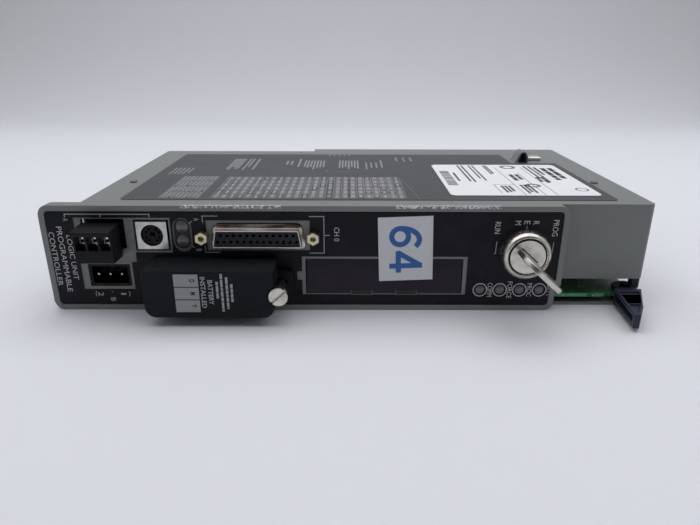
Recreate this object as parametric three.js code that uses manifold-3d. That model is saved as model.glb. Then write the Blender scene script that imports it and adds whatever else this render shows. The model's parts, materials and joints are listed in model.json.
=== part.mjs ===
// Processor module of a rack-mounted programmable controller, lying on its side with its front panel
// towards -Y. Millimetres, +Z up. The panel frame used below has X from the panel's left end, Y backwards
// from the front rim of the panel and Z up from the surface the module lies on.
import * as THREE from "three";
import { mergeVertices } from "three/addons/utils/BufferGeometryUtils.js";
import Module from "manifold-3d";

const wasm = await Module();
wasm.setup();

// ---- Clearances ----
const SEAT = 0.06; // between faces that rest on each other
const FIT = 0.3; // around a piece that slides or turns in another
const EPS = 0.5; // how far a cutting body runs past the face it cuts

// ---- Front panel (bezel and overlay) ----
const BEZEL_LENGTH = 223.3;
const BEZEL_HEIGHT = 47.7;
const BEZEL_DEPTH = 5.8;
const BEZEL_CORNER = 4.2;
const BEZEL_PLATE = 3.2; // front plate, in front of the hollow back
const RIM = 2.4;
const FOOT_SETBACK = 2.3; // the right end is narrower below FOOT_HEIGHT
const FOOT_HEIGHT = 12;
const OVERLAY_DROP = 0.35; // overlay face behind the rim
const OVERLAY_THICKNESS = 0.4;

// ---- Sheet cover ----
const COVER_INSET = 15.1; // cover's left wall from the panel's left end
const COVER_OVERHANG = 38.4; // cover's right wall past the panel's right end
const COVER_DROP = 0.5; // cover's top below the panel's top
const COVER_DEPTH = 128.8;
const COVER_STEP = 7.8; // the rear wall is further back on the right
const COVER_STEP_AT = 92.9;
const COVER_BEND = 2;
const SHEET = 1.2;
const SKIRT_HEIGHT = 12.9; // lower edge of the walls
const PORT_LINTEL = 3.5; // what stays of the front wall above the ports

// ---- Base plate and boards ----
const PLATE = 1.3;
const PLATE_END = 8; // base plate stops short of the cover's right wall
const BOARD_RISE = 4;
const BOARD = 1.6;
const BOARD_MARGIN = 0.9;
const BOARD_END = 2.2;
const BOARD_STEP = 1;
const BOARD_STEP_LENGTH = 13.5;
const TAB_LENGTH = 5;
const UPPER_BOARD_DROP = 19.7; // upper board's top below the panel's top
const BOSS_RADIUS = 3.6;

// ---- Case fasteners ----
const STANDOFF_INSET_LEFT = 9.3;
const STANDOFF_INSET_RIGHT = 10.9;
const STANDOFF_FRONT = 40.2;
const STANDOFF_REAR = 16;
const STANDOFF_RADIUS = 2.9;
const SCREW_SHANK = 1.3;
const SCREW_HEAD = 1.9;
const SCREW_LENGTH = 8;
const SCREW_HEAD_HEIGHT = 0.7;
const SCREW_SLOT = 0.35; // half the slot's width

// ---- Keyed mode switch ----
const LOCK_FROM_RIGHT = 17.6;
const LOCK_DROP = 20.6;
const PLUG_RADIUS = 7.5;
const PLUG_PROUD = 5.5;
const LOCK_RING_MOUTH = PLUG_RADIUS + 0.3;
const LOCK_BODY = PLUG_RADIUS + 1.8;
const LOCK_RING = LOCK_BODY + 1.7;
const LOCK_RING_PROUD = 5.9;
const LOCK_LENGTH = 26;
const LOCK_NUT_RADIUS = LOCK_BODY + 2.9;
const LOCK_NUT_THICKNESS = 3;
const KEYWAY_WIDTH = 9.6;
const KEY_THICKNESS = 2;
const KEY_BLADE = 22;
const KEY_NECK = 7;
const KEY_BOW = 18.5;
const KEY_BOW_WIDTH = 21;
const KEY_RING_HOLE = 1.8;
const RUN_ANGLE = 138; // degrees from +X, seen from the front

// ---- Lamps ----
const LAMP_RISE = 9.75; // status lamps above the panel's lower edge
const STATUS_LENS = 2;
const STATUS_PITCH = 8.7;
const STATUS_COUNT_LEFT = 2; // lamps left of the lock's centre line
const CHANNEL_LENS = 2.6;
const CHANNEL_X = 59.7;
const CHANNEL_DROPS = [9.3, 15.6];
const LENS_LENGTH = 7;

// ---- Serial connector ----
const SERIAL_X = 91.8;
const SERIAL_DROP = 13.5;
const SERIAL_WIDTH = 40.8; // at the flared root of the shell
const SERIAL_HEIGHT = 11;
const SERIAL_FLARE = 1.5; // the shell draws in by this much just above its root
const JACK_PITCH = SERIAL_WIDTH + 6.24;
const SERIAL_TAPER = 10; // degrees
const SERIAL_PROUD = 4.2;
const SERIAL_WALL = 0.5;
const CONTACT_PITCH = 2.77;
const CONTACT_ROW = 2.84;
const CONTACT_RADIUS = 0.72;
const FLANGE_THICKNESS = 1;
const JACK_HEX = 2.85;
const JACK_PROUD = 3.5;
const JACK_SHANK = 1.4;

// ---- Round programming port ----
const DIN_X = 46.5;
const DIN_DROP = 13.3;
const DIN_WIDTH = 13.2;
const DIN_HEIGHT = 12.2;
const DIN_SOCKET = 4.75;
const DIN_PIN_HOLE = 0.5;
const DIN_DEPTH = 11;

// ---- Three pole ports A and B ----
const POLE_PITCH = 5.08;
const POLE_COUNT = 3;
const PORT_LEFT = 17;
const PORT_WIDTH = POLE_PITCH * POLE_COUNT + 2.96;
const PORT_A_DROP = 6;
const PORT_A_HEIGHT = 18.8;
const PORT_STRIP = 1.6;
const PORT_B_HEIGHT = 10.3;
const PORT_WALL = 1;
const PLUG_WIDTH = POLE_PITCH * POLE_COUNT + 0.66;
const PLUG_HEIGHT = 14;
const PLUG_TOP_DROP = 8.1;
const PLUG_FRONT = 10;
const PLUG_TAIL = 8;
const PLUG_SHOULDER = 1.4; // the plug's tail is narrower than its grip
const PLUG_LIP = 1.9; // ledge over the wire cells
const PIN_SIDE = 0.9;
const TONGUE_WIDTH = 2.4;
const TONGUE_FOOT = 5;
const TONGUE_HEIGHT = 5.8;
const WIRE_CELL = POLE_PITCH - 1.08;
const WIRE_CELL_HEIGHT = 5.8;
const WIRE_SCREW = WIRE_CELL * 0.4;
const CLAMP_WALL = 0.6;

// ---- Battery compartment ----
const BATTERY_LEFT = 46.2;
const BATTERY_LENGTH = 53.4;
const BATTERY_BOTTOM = 4.3;
const BATTERY_HEIGHT = 20.9;
const BATTERY_PROUD = 17;
const BATTERY_WALL = 1.5;
const BATTERY_CORNER = 4.5;
const CELL_LENGTH = 33.5;
const CELL_RADIUS = 6.8;
const THUMB_HEAD = 4;
const THUMB_SHANK = 1.9;
const THUMB_HEIGHT = 3;
const THUMB_Z = BATTERY_BOTTOM + BATTERY_HEIGHT * 0.464;
const EAR_THICKNESS = 3;
const EAR_HALF = 5.4;

// ---- Memory window ----
const WINDOW_BOTTOM = 7.9;
const WINDOW_HEIGHT = 16.1;
const WINDOW_GAP_LEFT = 11.9;
const WINDOW_GAP_RIGHT = 25.6;
const WINDOW_RECESS = 2;

// ---- Ejector lever (swung open) ----
const LEVER_BOTTOM = PLATE + 0.4;
const LEVER_TOP = 8.1;
const LEVER_PIVOT = [5.4, 4.2]; // in from the cover's right wall, back from its front wall
const LEVER_SLOT = BOARD + 0.8;
const LEVER_SPINE = 2.3;
const LEVER_SLOT_REACH = 29.5; // from the pivot towards the tip
const LEVER_BLOCK = 4.2;
const LEVER_POCKET = 1.2;
const LEVER_RIB = 0.7;
const LEVER_PIN = 1.6;

// ---- Raised hood and spring clip near the cover's rear right corner ----
const HOOD_FROM_RIGHT = 31.2;
const HOOD_FROM_REAR = 36.6;
const HOOD_LENGTH = 10;
const HOOD_HALF = 3.1;
const HOOD_HEIGHT = 6.2;
const HOOD_SLOPE = 3.4;
const HOOD_WALL = 0.7;
const CLIP_FROM_RIGHT = 18.8;
const CLIP_WIDTH = 7.8;
const CLIP_FROM_REAR = 30.6;
const CLIP_LENGTH = 8.5;
const CLIP_RISE = 2.2;
const CLIP_SHEET = 0.45;
const CLIP_SLOT = 1.9;

// ---- Labels ----
const LABEL = 0.16;
const STICKER_WIDTH = 23.3;
const STICKER_HEIGHT = 28.8;
const STICKER_RISE = 4.75; // its middle above the window's top
const STICKER_TILT = 2.2; // degrees, anticlockwise seen from the front

// ---- Derived places ----
const overlayFace = OVERLAY_DROP;
const overlayBack = overlayFace + OVERLAY_THICKNESS;
const coverLeft = COVER_INSET;
const coverRight = BEZEL_LENGTH + COVER_OVERHANG;
const coverFront = BEZEL_DEPTH + SEAT;
const coverRear = coverFront + COVER_DEPTH;
const stepX = coverLeft + COVER_STEP_AT;
const coverTop = BEZEL_HEIGHT - COVER_DROP;
const boardBottom = BOARD_RISE;
const boardTop = boardBottom + BOARD;
const boardLeft = coverLeft + BOARD_MARGIN;
const boardRight = coverRight - BOARD_END;
const boardFront = coverFront + 0.3;
const upperTop = BEZEL_HEIGHT - UPPER_BOARD_DROP;
const upperBottom = upperTop - BOARD;
const lockX = BEZEL_LENGTH - LOCK_FROM_RIGHT;
const lockZ = BEZEL_HEIGHT - LOCK_DROP;
const serialZ = BEZEL_HEIGHT - SERIAL_DROP;
const dinZ = BEZEL_HEIGHT - DIN_DROP;
const portRight = PORT_LEFT + PORT_WIDTH;
const portX = PORT_LEFT + PORT_WIDTH / 2 - 0.45;
const portATop = BEZEL_HEIGHT - PORT_A_DROP;
const portABottom = portATop - PORT_A_HEIGHT;
const portBTop = portABottom - PORT_STRIP;
const portBBottom = portBTop - PORT_B_HEIGHT;
const plugTop = BEZEL_HEIGHT - PLUG_TOP_DROP;
const plugBottom = plugTop - PLUG_HEIGHT;
const batteryRight = BATTERY_LEFT + BATTERY_LENGTH;
const batteryTop = BATTERY_BOTTOM + BATTERY_HEIGHT;
const thumbX = batteryRight + THUMB_SHANK;
const windowLeft = batteryRight + WINDOW_GAP_LEFT;
const windowRight = lockX - WINDOW_GAP_RIGHT;
const windowTop = WINDOW_BOTTOM + WINDOW_HEIGHT;
const pivotX = coverRight - LEVER_PIVOT[0];
const pivotY = coverFront + LEVER_PIVOT[1];

// ---- Solids ----
// A closed three.js geometry as a solid that can be cut and joined.
function solid(geometry) {
  const plain = geometry.index ? geometry.toNonIndexed() : geometry.clone();
  plain.deleteAttribute("normal");
  plain.deleteAttribute("uv");
  const merged = mergeVertices(plain, 1e-4);
  return new wasm.Manifold(
    new wasm.Mesh({
      numProp: 3,
      vertProperties: new Float32Array(merged.attributes.position.array),
      triVerts: new Uint32Array(merged.index.array),
    }),
  );
}

function box(x0, x1, y0, y1, z0, z1) {
  const g = new THREE.BoxGeometry(x1 - x0, y1 - y0, z1 - z0);
  g.translate((x0 + x1) / 2, (y0 + y1) / 2, (z0 + z1) / 2);
  return solid(g);
}

// A round bar along an axis: centre of its section is given by the other two coordinates in X, Y, Z order.
function bar(axis, a, b, radius, from, to, sides = 24, endRadius = radius) {
  const g = new THREE.CylinderGeometry(endRadius, radius, to - from, sides);
  const middle = (from + to) / 2;
  if (axis === "x") g.rotateZ(-Math.PI / 2).translate(middle, a, b);
  if (axis === "y") g.translate(a, middle, b);
  if (axis === "z") g.rotateX(Math.PI / 2).translate(a, b, middle);
  return solid(g);
}

function outline(points) {
  return new THREE.Shape(points.map(([x, y]) => new THREE.Vector2(x, y)));
}

// A rectangle with round corners; radii go anticlockwise from the lower left.
function roundedRect(x0, x1, y0, y1, r) {
  const [a, b, c, d] = Array.isArray(r) ? r : [r, r, r, r];
  const s = new THREE.Shape();
  s.moveTo(x0 + a, y0);
  s.lineTo(x1 - b, y0);
  if (b > 0) s.absarc(x1 - b, y0 + b, b, -Math.PI / 2, 0);
  s.lineTo(x1, y1 - c);
  if (c > 0) s.absarc(x1 - c, y1 - c, c, 0, Math.PI / 2);
  s.lineTo(x0 + d, y1);
  if (d > 0) s.absarc(x0 + d, y1 - d, d, Math.PI / 2, Math.PI);
  s.lineTo(x0, y0 + a);
  if (a > 0) s.absarc(x0 + a, y0 + a, a, Math.PI, 1.5 * Math.PI);
  return s;
}

// A flat outline carried along its normal.
function carried(shape, depth, segments) {
  return new THREE.ExtrudeGeometry(shape, { depth, bevelEnabled: false, curveSegments: segments });
}

// A flat outline drawn in X and Z, carried from y0 to y1.
function upright(shape, y0, y1, segments = 5) {
  return solid(carried(shape, y1 - y0, segments).rotateX(Math.PI / 2).translate(0, y1, 0));
}

// A flat outline drawn in X and Y, carried from z0 to z1.
function flat(shape, z0, z1, segments = 5) {
  return solid(carried(shape, z1 - z0, segments).translate(0, 0, z0));
}

// A flat outline drawn in Y and Z, carried from x0 to x1.
function sideways(shape, x0, x1, segments = 5) {
  const turn = new THREE.Matrix4().makeBasis(
    new THREE.Vector3(0, 1, 0),
    new THREE.Vector3(0, 0, 1),
    new THREE.Vector3(1, 0, 0),
  );
  return solid(carried(shape, x1 - x0, segments).applyMatrix4(turn).translate(x0, 0, 0));
}

// A profile of [radius, y] points turned about an axis along Y through (x, z).
function turned(profile, x, z, sides = 32) {
  const g = new THREE.LatheGeometry(
    profile.map(([r, y]) => new THREE.Vector2(r, y)),
    sides,
  );
  return solid(g.translate(x, 0, z));
}

function join(...pieces) {
  return pieces.reduce((a, b) => a.add(b));
}

function cut(body, ...tools) {
  return tools.reduce((a, b) => a.subtract(b), body);
}

const part = new THREE.Group();

function piece(name, body, color, roughness, metalness = 0) {
  const mesh = body.getMesh();
  const g = new THREE.BufferGeometry();
  const stride = mesh.numProp;
  const count = mesh.vertProperties.length / stride;
  const positions = new Float32Array(count * 3);
  for (let i = 0; i < count; i++)
    for (let k = 0; k < 3; k++) positions[i * 3 + k] = mesh.vertProperties[i * stride + k];
  g.setAttribute("position", new THREE.BufferAttribute(positions, 3));
  g.setIndex(new THREE.BufferAttribute(mesh.triVerts, 1));
  g.computeVertexNormals();
  const made = new THREE.Mesh(g, new THREE.MeshStandardMaterial({ color, roughness, metalness }));
  made.name = name;
  part.add(made);
}

// ---- Colours ----
const PAINT = 0x7e827f;
const INK_BLACK = 0x1d1e24;
const LABEL_GREY = 0x55565c;
const PAPER = 0xe8e8ec;
const STEEL = 0xb8b9b8;
const NICKEL = 0xb9b4a6;
const BLACK_PLASTIC = 0x17181b;
const CHARCOAL = 0x303136;
const BOARD_GREEN = 0x1f6a45;
const GOLD = 0xb9a878;
const NYLON = 0x3c4356;
const SMOKE = 0x241b2b;

// ---- Openings shared by the bezel and its overlay ----
const statusLamps = ["comm", "force", "proc", "batt"].map((name, i) => ({
  name,
  x: lockX + (i - STATUS_COUNT_LEFT) * STATUS_PITCH - 0.2,
}));
const channelLamps = ["a", "b"].map((name, i) => ({ name, z: BEZEL_HEIGHT - CHANNEL_DROPS[i] }));
const jackScrews = ["left", "right"].map((name, i) => ({ name, x: SERIAL_X + (i - 0.5) * JACK_PITCH }));
const poles = Array.from({ length: POLE_COUNT }, (_, i) => portX + (i - (POLE_COUNT - 1) / 2) * POLE_PITCH);

// The serial connector's D outline, wide side down, grown by a margin.
function serialD(margin) {
  const half = SERIAL_WIDTH / 2 + margin;
  const h = SERIAL_HEIGHT / 2 + margin;
  const lean = 2 * h * Math.tan((SERIAL_TAPER * Math.PI) / 180);
  const r = Math.max(2.4 + margin, 0.6);
  const corners = [
    [-half, -h],
    [half, -h],
    [half - lean, h],
    [-half + lean, h],
  ].map(([x, z]) => new THREE.Vector2(SERIAL_X + x, serialZ + z));
  const s = new THREE.Shape();
  corners.forEach((c, i) => {
    const before = corners[(i + 3) % 4];
    const after = corners[(i + 1) % 4];
    const start = c.clone().addScaledVector(before.clone().sub(c).normalize(), r);
    const end = c.clone().addScaledVector(after.clone().sub(c).normalize(), r);
    if (i) s.lineTo(start.x, start.y);
    else s.moveTo(start.x, start.y);
    s.quadraticCurveTo(c.x, c.y, end.x, end.y);
  });
  s.closePath();
  return s;
}

// ---- Bezel ----
const bezelRightLow = BEZEL_LENGTH - FOOT_SETBACK;
function bezelOutline(inset) {
  const s = new THREE.Shape();
  const r = BEZEL_CORNER - inset;
  const lo = inset;
  const hi = BEZEL_HEIGHT - inset;
  const right = BEZEL_LENGTH - inset;
  const rightLow = bezelRightLow - inset;
  s.moveTo(lo + r, lo);
  s.lineTo(rightLow - r, lo);
  s.absarc(rightLow - r, lo + r, r, -Math.PI / 2, 0);
  s.lineTo(rightLow, FOOT_HEIGHT + inset);
  s.lineTo(right, FOOT_HEIGHT + inset);
  s.lineTo(right, hi - r);
  s.absarc(right - r, hi - r, r, 0, Math.PI / 2);
  s.lineTo(lo + r, hi);
  s.absarc(lo + r, hi - r, r, Math.PI / 2, Math.PI);
  s.lineTo(lo, lo + r);
  s.absarc(lo + r, lo + r, r, Math.PI, 1.5 * Math.PI);
  return s;
}
const throughY = [-EPS, BEZEL_DEPTH + EPS];
// the port's lower right corner holds a small tongue with a hollowed edge
const portA = outline([
  [PORT_LEFT, portABottom],
  [portRight - TONGUE_FOOT, portABottom],
  [portRight - TONGUE_FOOT * 0.92, portABottom + TONGUE_HEIGHT * 0.2],
  [portRight - (TONGUE_FOOT + TONGUE_WIDTH) / 2, portABottom + TONGUE_HEIGHT * 0.55],
  [portRight - TONGUE_WIDTH, portABottom + TONGUE_HEIGHT * 0.8],
  [portRight - TONGUE_WIDTH * 0.85, portABottom + TONGUE_HEIGHT * 0.9],
  [portRight, portABottom + TONGUE_HEIGHT],
  [portRight, portATop],
  [PORT_LEFT, portATop],
]);
const dinOpening = [DIN_X - DIN_WIDTH / 2 - 0.9, DIN_X + DIN_WIDTH / 2 + 0.9];
const dinOpeningZ = [dinZ - DIN_HEIGHT / 2 - 0.8, dinZ + DIN_HEIGHT / 2 + 0.9];
const trayLeft = BATTERY_LEFT + BATTERY_WALL + 2.4;
const trayRight = batteryRight - BATTERY_WALL - THUMB_SHANK - 1.2;
const trayBottom = BATTERY_BOTTOM + BATTERY_WALL + 1.2;
const trayTop = batteryTop - BATTERY_WALL - 1.2;
const bezelHoles = [
  upright(portA, ...throughY),
  box(PORT_LEFT, portRight, ...throughY, portBBottom, portBTop),
  box(...dinOpening, ...throughY, ...dinOpeningZ),
  upright(serialD(FIT), ...throughY),
  box(trayLeft - FIT, trayRight + FIT, ...throughY, trayBottom - FIT, trayTop + FIT),
  box(windowLeft, windowRight, ...throughY, WINDOW_BOTTOM, windowTop),
  bar("y", lockX, lockZ, LOCK_BODY + FIT, ...throughY, 32),
  bar("y", thumbX, THUMB_Z, THUMB_SHANK + FIT, ...throughY, 16),
  ...channelLamps.map((l) => bar("y", CHANNEL_X, l.z, CHANNEL_LENS + 0.15, ...throughY, 20)),
  ...statusLamps.map((l) => bar("y", l.x, LAMP_RISE, STATUS_LENS + 0.15, ...throughY, 20)),
  ...jackScrews.map((j) => bar("y", j.x, serialZ, JACK_SHANK + FIT, ...throughY, 16)),
];
piece(
  "front_bezel",
  cut(
    upright(bezelOutline(0), 0, BEZEL_DEPTH),
    upright(bezelOutline(RIM), -EPS, overlayBack + SEAT),
    upright(bezelOutline(RIM), BEZEL_PLATE, BEZEL_DEPTH + EPS),
    ...bezelHoles,
  ),
  PAINT,
  0.55,
  0.3,
);

// ---- Overlay: printed sheet in the bezel's shallow recess ----
const overlayY = [overlayFace - EPS, overlayBack + EPS];
const channelPad = roundedRect(
  CHANNEL_X - 4,
  CHANNEL_X + 4,
  BEZEL_HEIGHT - CHANNEL_DROPS[1] - 4.8,
  BEZEL_HEIGHT - CHANNEL_DROPS[0] + 3.4,
  3.9,
);
const portMargin = 3.1;
piece(
  "front_overlay",
  cut(
    upright(bezelOutline(RIM + 0.12), overlayFace, overlayBack),
    box(PORT_LEFT - portMargin, portRight + 3.6, ...overlayY, portBTop + 0.9, portATop + 0.7),
    box(portRight, dinOpening[1] + 0.9, ...overlayY, dinOpeningZ[0] - 0.8, portATop + 0.7),
    box(PORT_LEFT - portMargin, portRight + 1.3, ...overlayY, portBBottom - 1.5, portBTop + 1.5),
    upright(channelPad, ...overlayY),
    box(SERIAL_X - 22, SERIAL_X + 22, ...overlayY, serialZ - 6.4, serialZ + 7.1),
    box(trayLeft - FIT, trayRight + FIT, ...overlayY, trayBottom - FIT, trayTop + FIT),
    box(windowLeft - 1.5, windowRight + 1.7, ...overlayY, WINDOW_BOTTOM - 0.7, windowTop + 1.2),
    box(windowLeft - 3.6, windowLeft, ...overlayY, WINDOW_BOTTOM + 6.2, WINDOW_BOTTOM + 10.4),
    bar("y", lockX, lockZ, LOCK_BODY + FIT, ...overlayY, 32),
    bar("y", thumbX, THUMB_Z, THUMB_SHANK + FIT, ...overlayY, 16),
    ...statusLamps.map((l) => bar("y", l.x, LAMP_RISE, STATUS_LENS + 0.15, ...overlayY, 20)),
    ...jackScrews.map((j) => bar("y", j.x, serialZ, JACK_SHANK + FIT, ...overlayY, 16)),
  ),
  INK_BLACK,
  0.45,
);

// ---- Sheet cover: top and four walls, open underneath ----
function coverOutline(inset) {
  const r = Math.max(COVER_BEND - inset, 0.4);
  const x0 = coverLeft + inset;
  const x1 = coverRight - inset;
  const y0 = coverFront + inset;
  const y1 = coverRear - inset;
  const y2 = y1 + COVER_STEP;
  const xs = stepX + inset;
  const s = new THREE.Shape();
  s.moveTo(x0 + r, y0);
  s.lineTo(x1 - r, y0);
  s.absarc(x1 - r, y0 + r, r, -Math.PI / 2, 0);
  s.lineTo(x1, y2 - r);
  s.absarc(x1 - r, y2 - r, r, 0, Math.PI / 2);
  s.lineTo(xs, y2);
  s.lineTo(xs, y1);
  s.lineTo(x0 + r, y1);
  s.absarc(x0 + r, y1 - r, r, Math.PI / 2, Math.PI);
  s.lineTo(x0, y0 + r);
  s.absarc(x0 + r, y0 + r, r, Math.PI, 1.5 * Math.PI);
  return s;
}
const standoffs = [
  [coverLeft + STANDOFF_INSET_LEFT, coverFront + STANDOFF_FRONT],
  [coverRight - STANDOFF_INSET_RIGHT, coverFront + STANDOFF_FRONT],
  [coverLeft + STANDOFF_INSET_LEFT, coverRear - STANDOFF_REAR],
  [coverRight - STANDOFF_INSET_RIGHT, coverRear - STANDOFF_REAR],
];
const hoodX = coverRight - HOOD_FROM_RIGHT;
const hoodFront = coverRear - HOOD_FROM_REAR;
const hoodBack = hoodFront + HOOD_LENGTH;
const clipX = [coverRight - CLIP_FROM_RIGHT - CLIP_WIDTH, coverRight - CLIP_FROM_RIGHT];
const clipFront = coverRear - CLIP_FROM_REAR;

// The hood's section in X and Z: a soft slope on the left, a round crest and a steep right side.
function hoodSection(half, height, slope, base) {
  const crest = coverTop + height;
  const s = new THREE.Shape();
  s.moveTo(hoodX - half - slope, base);
  s.bezierCurveTo(hoodX - half, base, hoodX - half, crest, hoodX, crest);
  s.bezierCurveTo(hoodX + half * 0.8, crest, hoodX + half, crest - height / 2, hoodX + half, base);
  s.closePath();
  return s;
}
const noseX = lockX + LOCK_BODY + 1;
const coverFrontWall = [coverFront - EPS, coverFront + SHEET + EPS];
const throughCover = [coverTop - SHEET - EPS, coverTop + EPS];
const topScrews = standoffs.slice(0, 2);
const bottomScrews = standoffs.slice(2);
piece(
  "cover_shell",
  cut(
    join(
      cut(
        flat(coverOutline(0), SKIRT_HEIGHT, coverTop),
        flat(coverOutline(SHEET), SKIRT_HEIGHT - EPS, coverTop - SHEET),
        box(PORT_LEFT - EPS, noseX, ...coverFrontWall, SKIRT_HEIGHT - EPS, coverTop - PORT_LINTEL),
        box(...clipX, clipFront - CLIP_SLOT / 2, clipFront + CLIP_SLOT / 2, ...throughCover),
        ...topScrews.map(([x, y]) => bar("z", x, y, SCREW_SHANK + FIT, ...throughCover, 16)),
      ),
      upright(hoodSection(HOOD_HALF, HOOD_HEIGHT, HOOD_SLOPE, coverTop - SHEET / 2), hoodFront, hoodBack, 8),
    ),
    upright(
      hoodSection(HOOD_HALF - HOOD_WALL, HOOD_HEIGHT - HOOD_WALL, HOOD_SLOPE / 4, coverTop - SHEET - EPS),
      hoodFront - EPS,
      hoodBack - HOOD_WALL,
      8,
    ),
  ),
  PAINT,
  0.5,
  0.3,
);

// ---- Base plate with raised bosses under the standoffs ----
const bossTop = boardBottom - SEAT;
piece(
  "base_plate",
  cut(
    join(
      box(coverLeft, coverRight - PLATE_END, coverFront + 0.1, coverRear, 0, PLATE),
      ...standoffs.map(([x, y]) => bar("z", x, y, BOSS_RADIUS, PLATE / 2, bossTop, 20, BOSS_RADIUS * 0.8)),
    ),
    ...standoffs.map(([x, y]) => bar("z", x, y, SCREW_SHANK + FIT, -EPS, bossTop + EPS, 16)),
    ...bottomScrews.map(([x, y]) => bar("z", x, y, SCREW_HEAD + FIT, -EPS, SCREW_HEAD_HEIGHT + 2 * SEAT, 20)),
  ),
  PAINT,
  0.5,
  0.4,
);

// ---- Boards ----
const tabs = [
  [boardLeft + 28, boardLeft + 88],
  [stepX + 40, stepX + 110],
];
piece(
  "main_board",
  cut(
    join(
      box(boardLeft, boardRight, boardFront, coverRear + COVER_STEP, boardBottom, boardTop),
      ...tabs.map(([a, b]) =>
        box(a, b, coverRear, coverRear + COVER_STEP + TAB_LENGTH, boardBottom, boardTop),
      ),
    ),
    box(
      coverLeft - EPS,
      stepX,
      coverRear + COVER_STEP / 2,
      coverRear + COVER_STEP + EPS,
      boardBottom - EPS,
      boardTop + EPS,
    ).subtract(
      box(tabs[0][0], tabs[0][1], coverRear, coverRear + 3 * COVER_STEP, boardBottom - 1, boardTop + 1),
    ),
    box(
      boardRight - BOARD_STEP_LENGTH,
      boardRight + EPS,
      boardFront - EPS,
      boardFront + BOARD_STEP,
      boardBottom - EPS,
      boardTop + EPS,
    ),
    bar("z", pivotX, pivotY, LEVER_PIN + FIT, boardBottom - EPS, boardTop + EPS, 16),
    ...standoffs.map(([x, y]) => bar("z", x, y, SCREW_SHANK + FIT, boardBottom - EPS, boardTop + EPS, 16)),
  ),
  BOARD_GREEN,
  0.45,
);
const upperLeft = coverLeft + 25;
const upperRight = lockX - LOCK_NUT_RADIUS - 3;
const upperFront = coverFront + 13;
const upperRear = coverRear - 18;
piece(
  "processor_board",
  box(upperLeft, upperRight, upperFront, upperRear, upperBottom, upperTop),
  BOARD_GREEN,
  0.45,
);
const upperX = (upperLeft + upperRight) / 2;
const upperY = (upperFront + upperRear) / 2;
piece(
  "processor_chip",
  box(upperX - 16, upperX + 16, upperY + 4, upperY + 36, upperTop + SEAT, upperTop + 4),
  BLACK_PLASTIC,
  0.5,
);
piece(
  "memory_chip",
  box(upperX + 24, upperX + 60, upperY + 8, upperY + 24, upperTop + SEAT, upperTop + 4.4),
  BLACK_PLASTIC,
  0.5,
);
piece(
  "board_connector",
  box(upperX - 40, upperX + 40, upperRear - 12, upperRear - 4, boardTop + SEAT, upperBottom - SEAT),
  BLACK_PLASTIC,
  0.5,
);
piece(
  "address_switch",
  box(hoodX - 9, hoodX + 4, hoodFront + 2, hoodFront + 29, boardTop + SEAT, boardTop + 9),
  0x8a2a2c,
  0.5,
);

// ---- Standoffs and case screws ----
const standoffTop = coverTop - SHEET - SEAT;
standoffs.forEach(([x, y], i) => {
  piece(
    `standoff_${i + 1}`,
    cut(
      bar("z", x, y, STANDOFF_RADIUS, boardTop + SEAT, standoffTop, 6),
      bar("z", x, y, SCREW_SHANK + 0.2, standoffTop - SCREW_LENGTH, standoffTop + EPS, 12),
      bar("z", x, y, SCREW_SHANK + 0.2, boardTop - EPS, boardTop + SCREW_LENGTH, 12),
    ),
    STEEL,
    0.35,
    0.9,
  );
});
standoffs.forEach(([x, y], i) => {
  const fromTop = i < 2;
  const headAt = fromTop ? coverTop + SEAT : SEAT;
  const head = bar("z", x, y, SCREW_HEAD, headAt, headAt + SCREW_HEAD_HEIGHT, 20);
  const shank = fromTop
    ? bar("z", x, y, SCREW_SHANK, standoffTop - SCREW_LENGTH * 0.8, headAt + 0.2, 12)
    : bar("z", x, y, SCREW_SHANK, headAt + SCREW_HEAD_HEIGHT - 0.2, boardTop + SCREW_LENGTH * 0.8, 12);
  const slotAt = fromTop ? headAt + SCREW_HEAD_HEIGHT - 0.4 : headAt - EPS;
  const across = SCREW_HEAD + EPS;
  const slot = box(x - across, x + across, y - SCREW_SLOT, y + SCREW_SLOT, slotAt, slotAt + EPS + 0.4);
  piece(`case_screw_${i + 1}`, cut(join(head, shank), slot), STEEL, 0.35, 0.9);
});

// ---- Keyed mode switch ----
// The ring's dome: from the mouth up a short slope to the crest, then round to its outer wall.
const ringDome = [
  [LOCK_RING_MOUTH, -PLUG_PROUD + 0.7],
  [LOCK_RING_MOUTH + 0.25, -PLUG_PROUD + 0.2],
  [LOCK_RING_MOUTH + 0.7, -LOCK_RING_PROUD + 0.1],
  [LOCK_RING_MOUTH + 1.1, -LOCK_RING_PROUD],
  [LOCK_RING - 1.5, -LOCK_RING_PROUD + 0.35],
  [LOCK_RING - 0.95, -LOCK_RING_PROUD + 1.05],
  [LOCK_RING - 0.5, -LOCK_RING_PROUD + 2.05],
  [LOCK_RING - 0.2, -LOCK_RING_PROUD + 3.3],
  [LOCK_RING, -LOCK_RING_PROUD + 4.8],
];
piece(
  "lock_barrel",
  turned(
    [
      ...ringDome,
      [LOCK_RING, overlayFace - SEAT],
      [LOCK_BODY, overlayFace - SEAT],
      [LOCK_BODY, LOCK_LENGTH],
      [LOCK_RING_MOUTH, LOCK_LENGTH],
      [LOCK_RING_MOUTH, -PLUG_PROUD + 0.7],
    ],
    lockX,
    lockZ,
    56,
  ),
  NICKEL,
  0.3,
  1,
);
const nutAt = coverFront + SHEET + SEAT;
piece(
  "lock_nut",
  cut(
    bar("y", lockX, lockZ, LOCK_NUT_RADIUS, nutAt, nutAt + LOCK_NUT_THICKNESS, 6),
    bar("y", lockX, lockZ, LOCK_BODY + 0.2, nutAt - EPS, nutAt + LOCK_NUT_THICKNESS + EPS, 32),
  ),
  STEEL,
  0.4,
  0.9,
);
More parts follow.
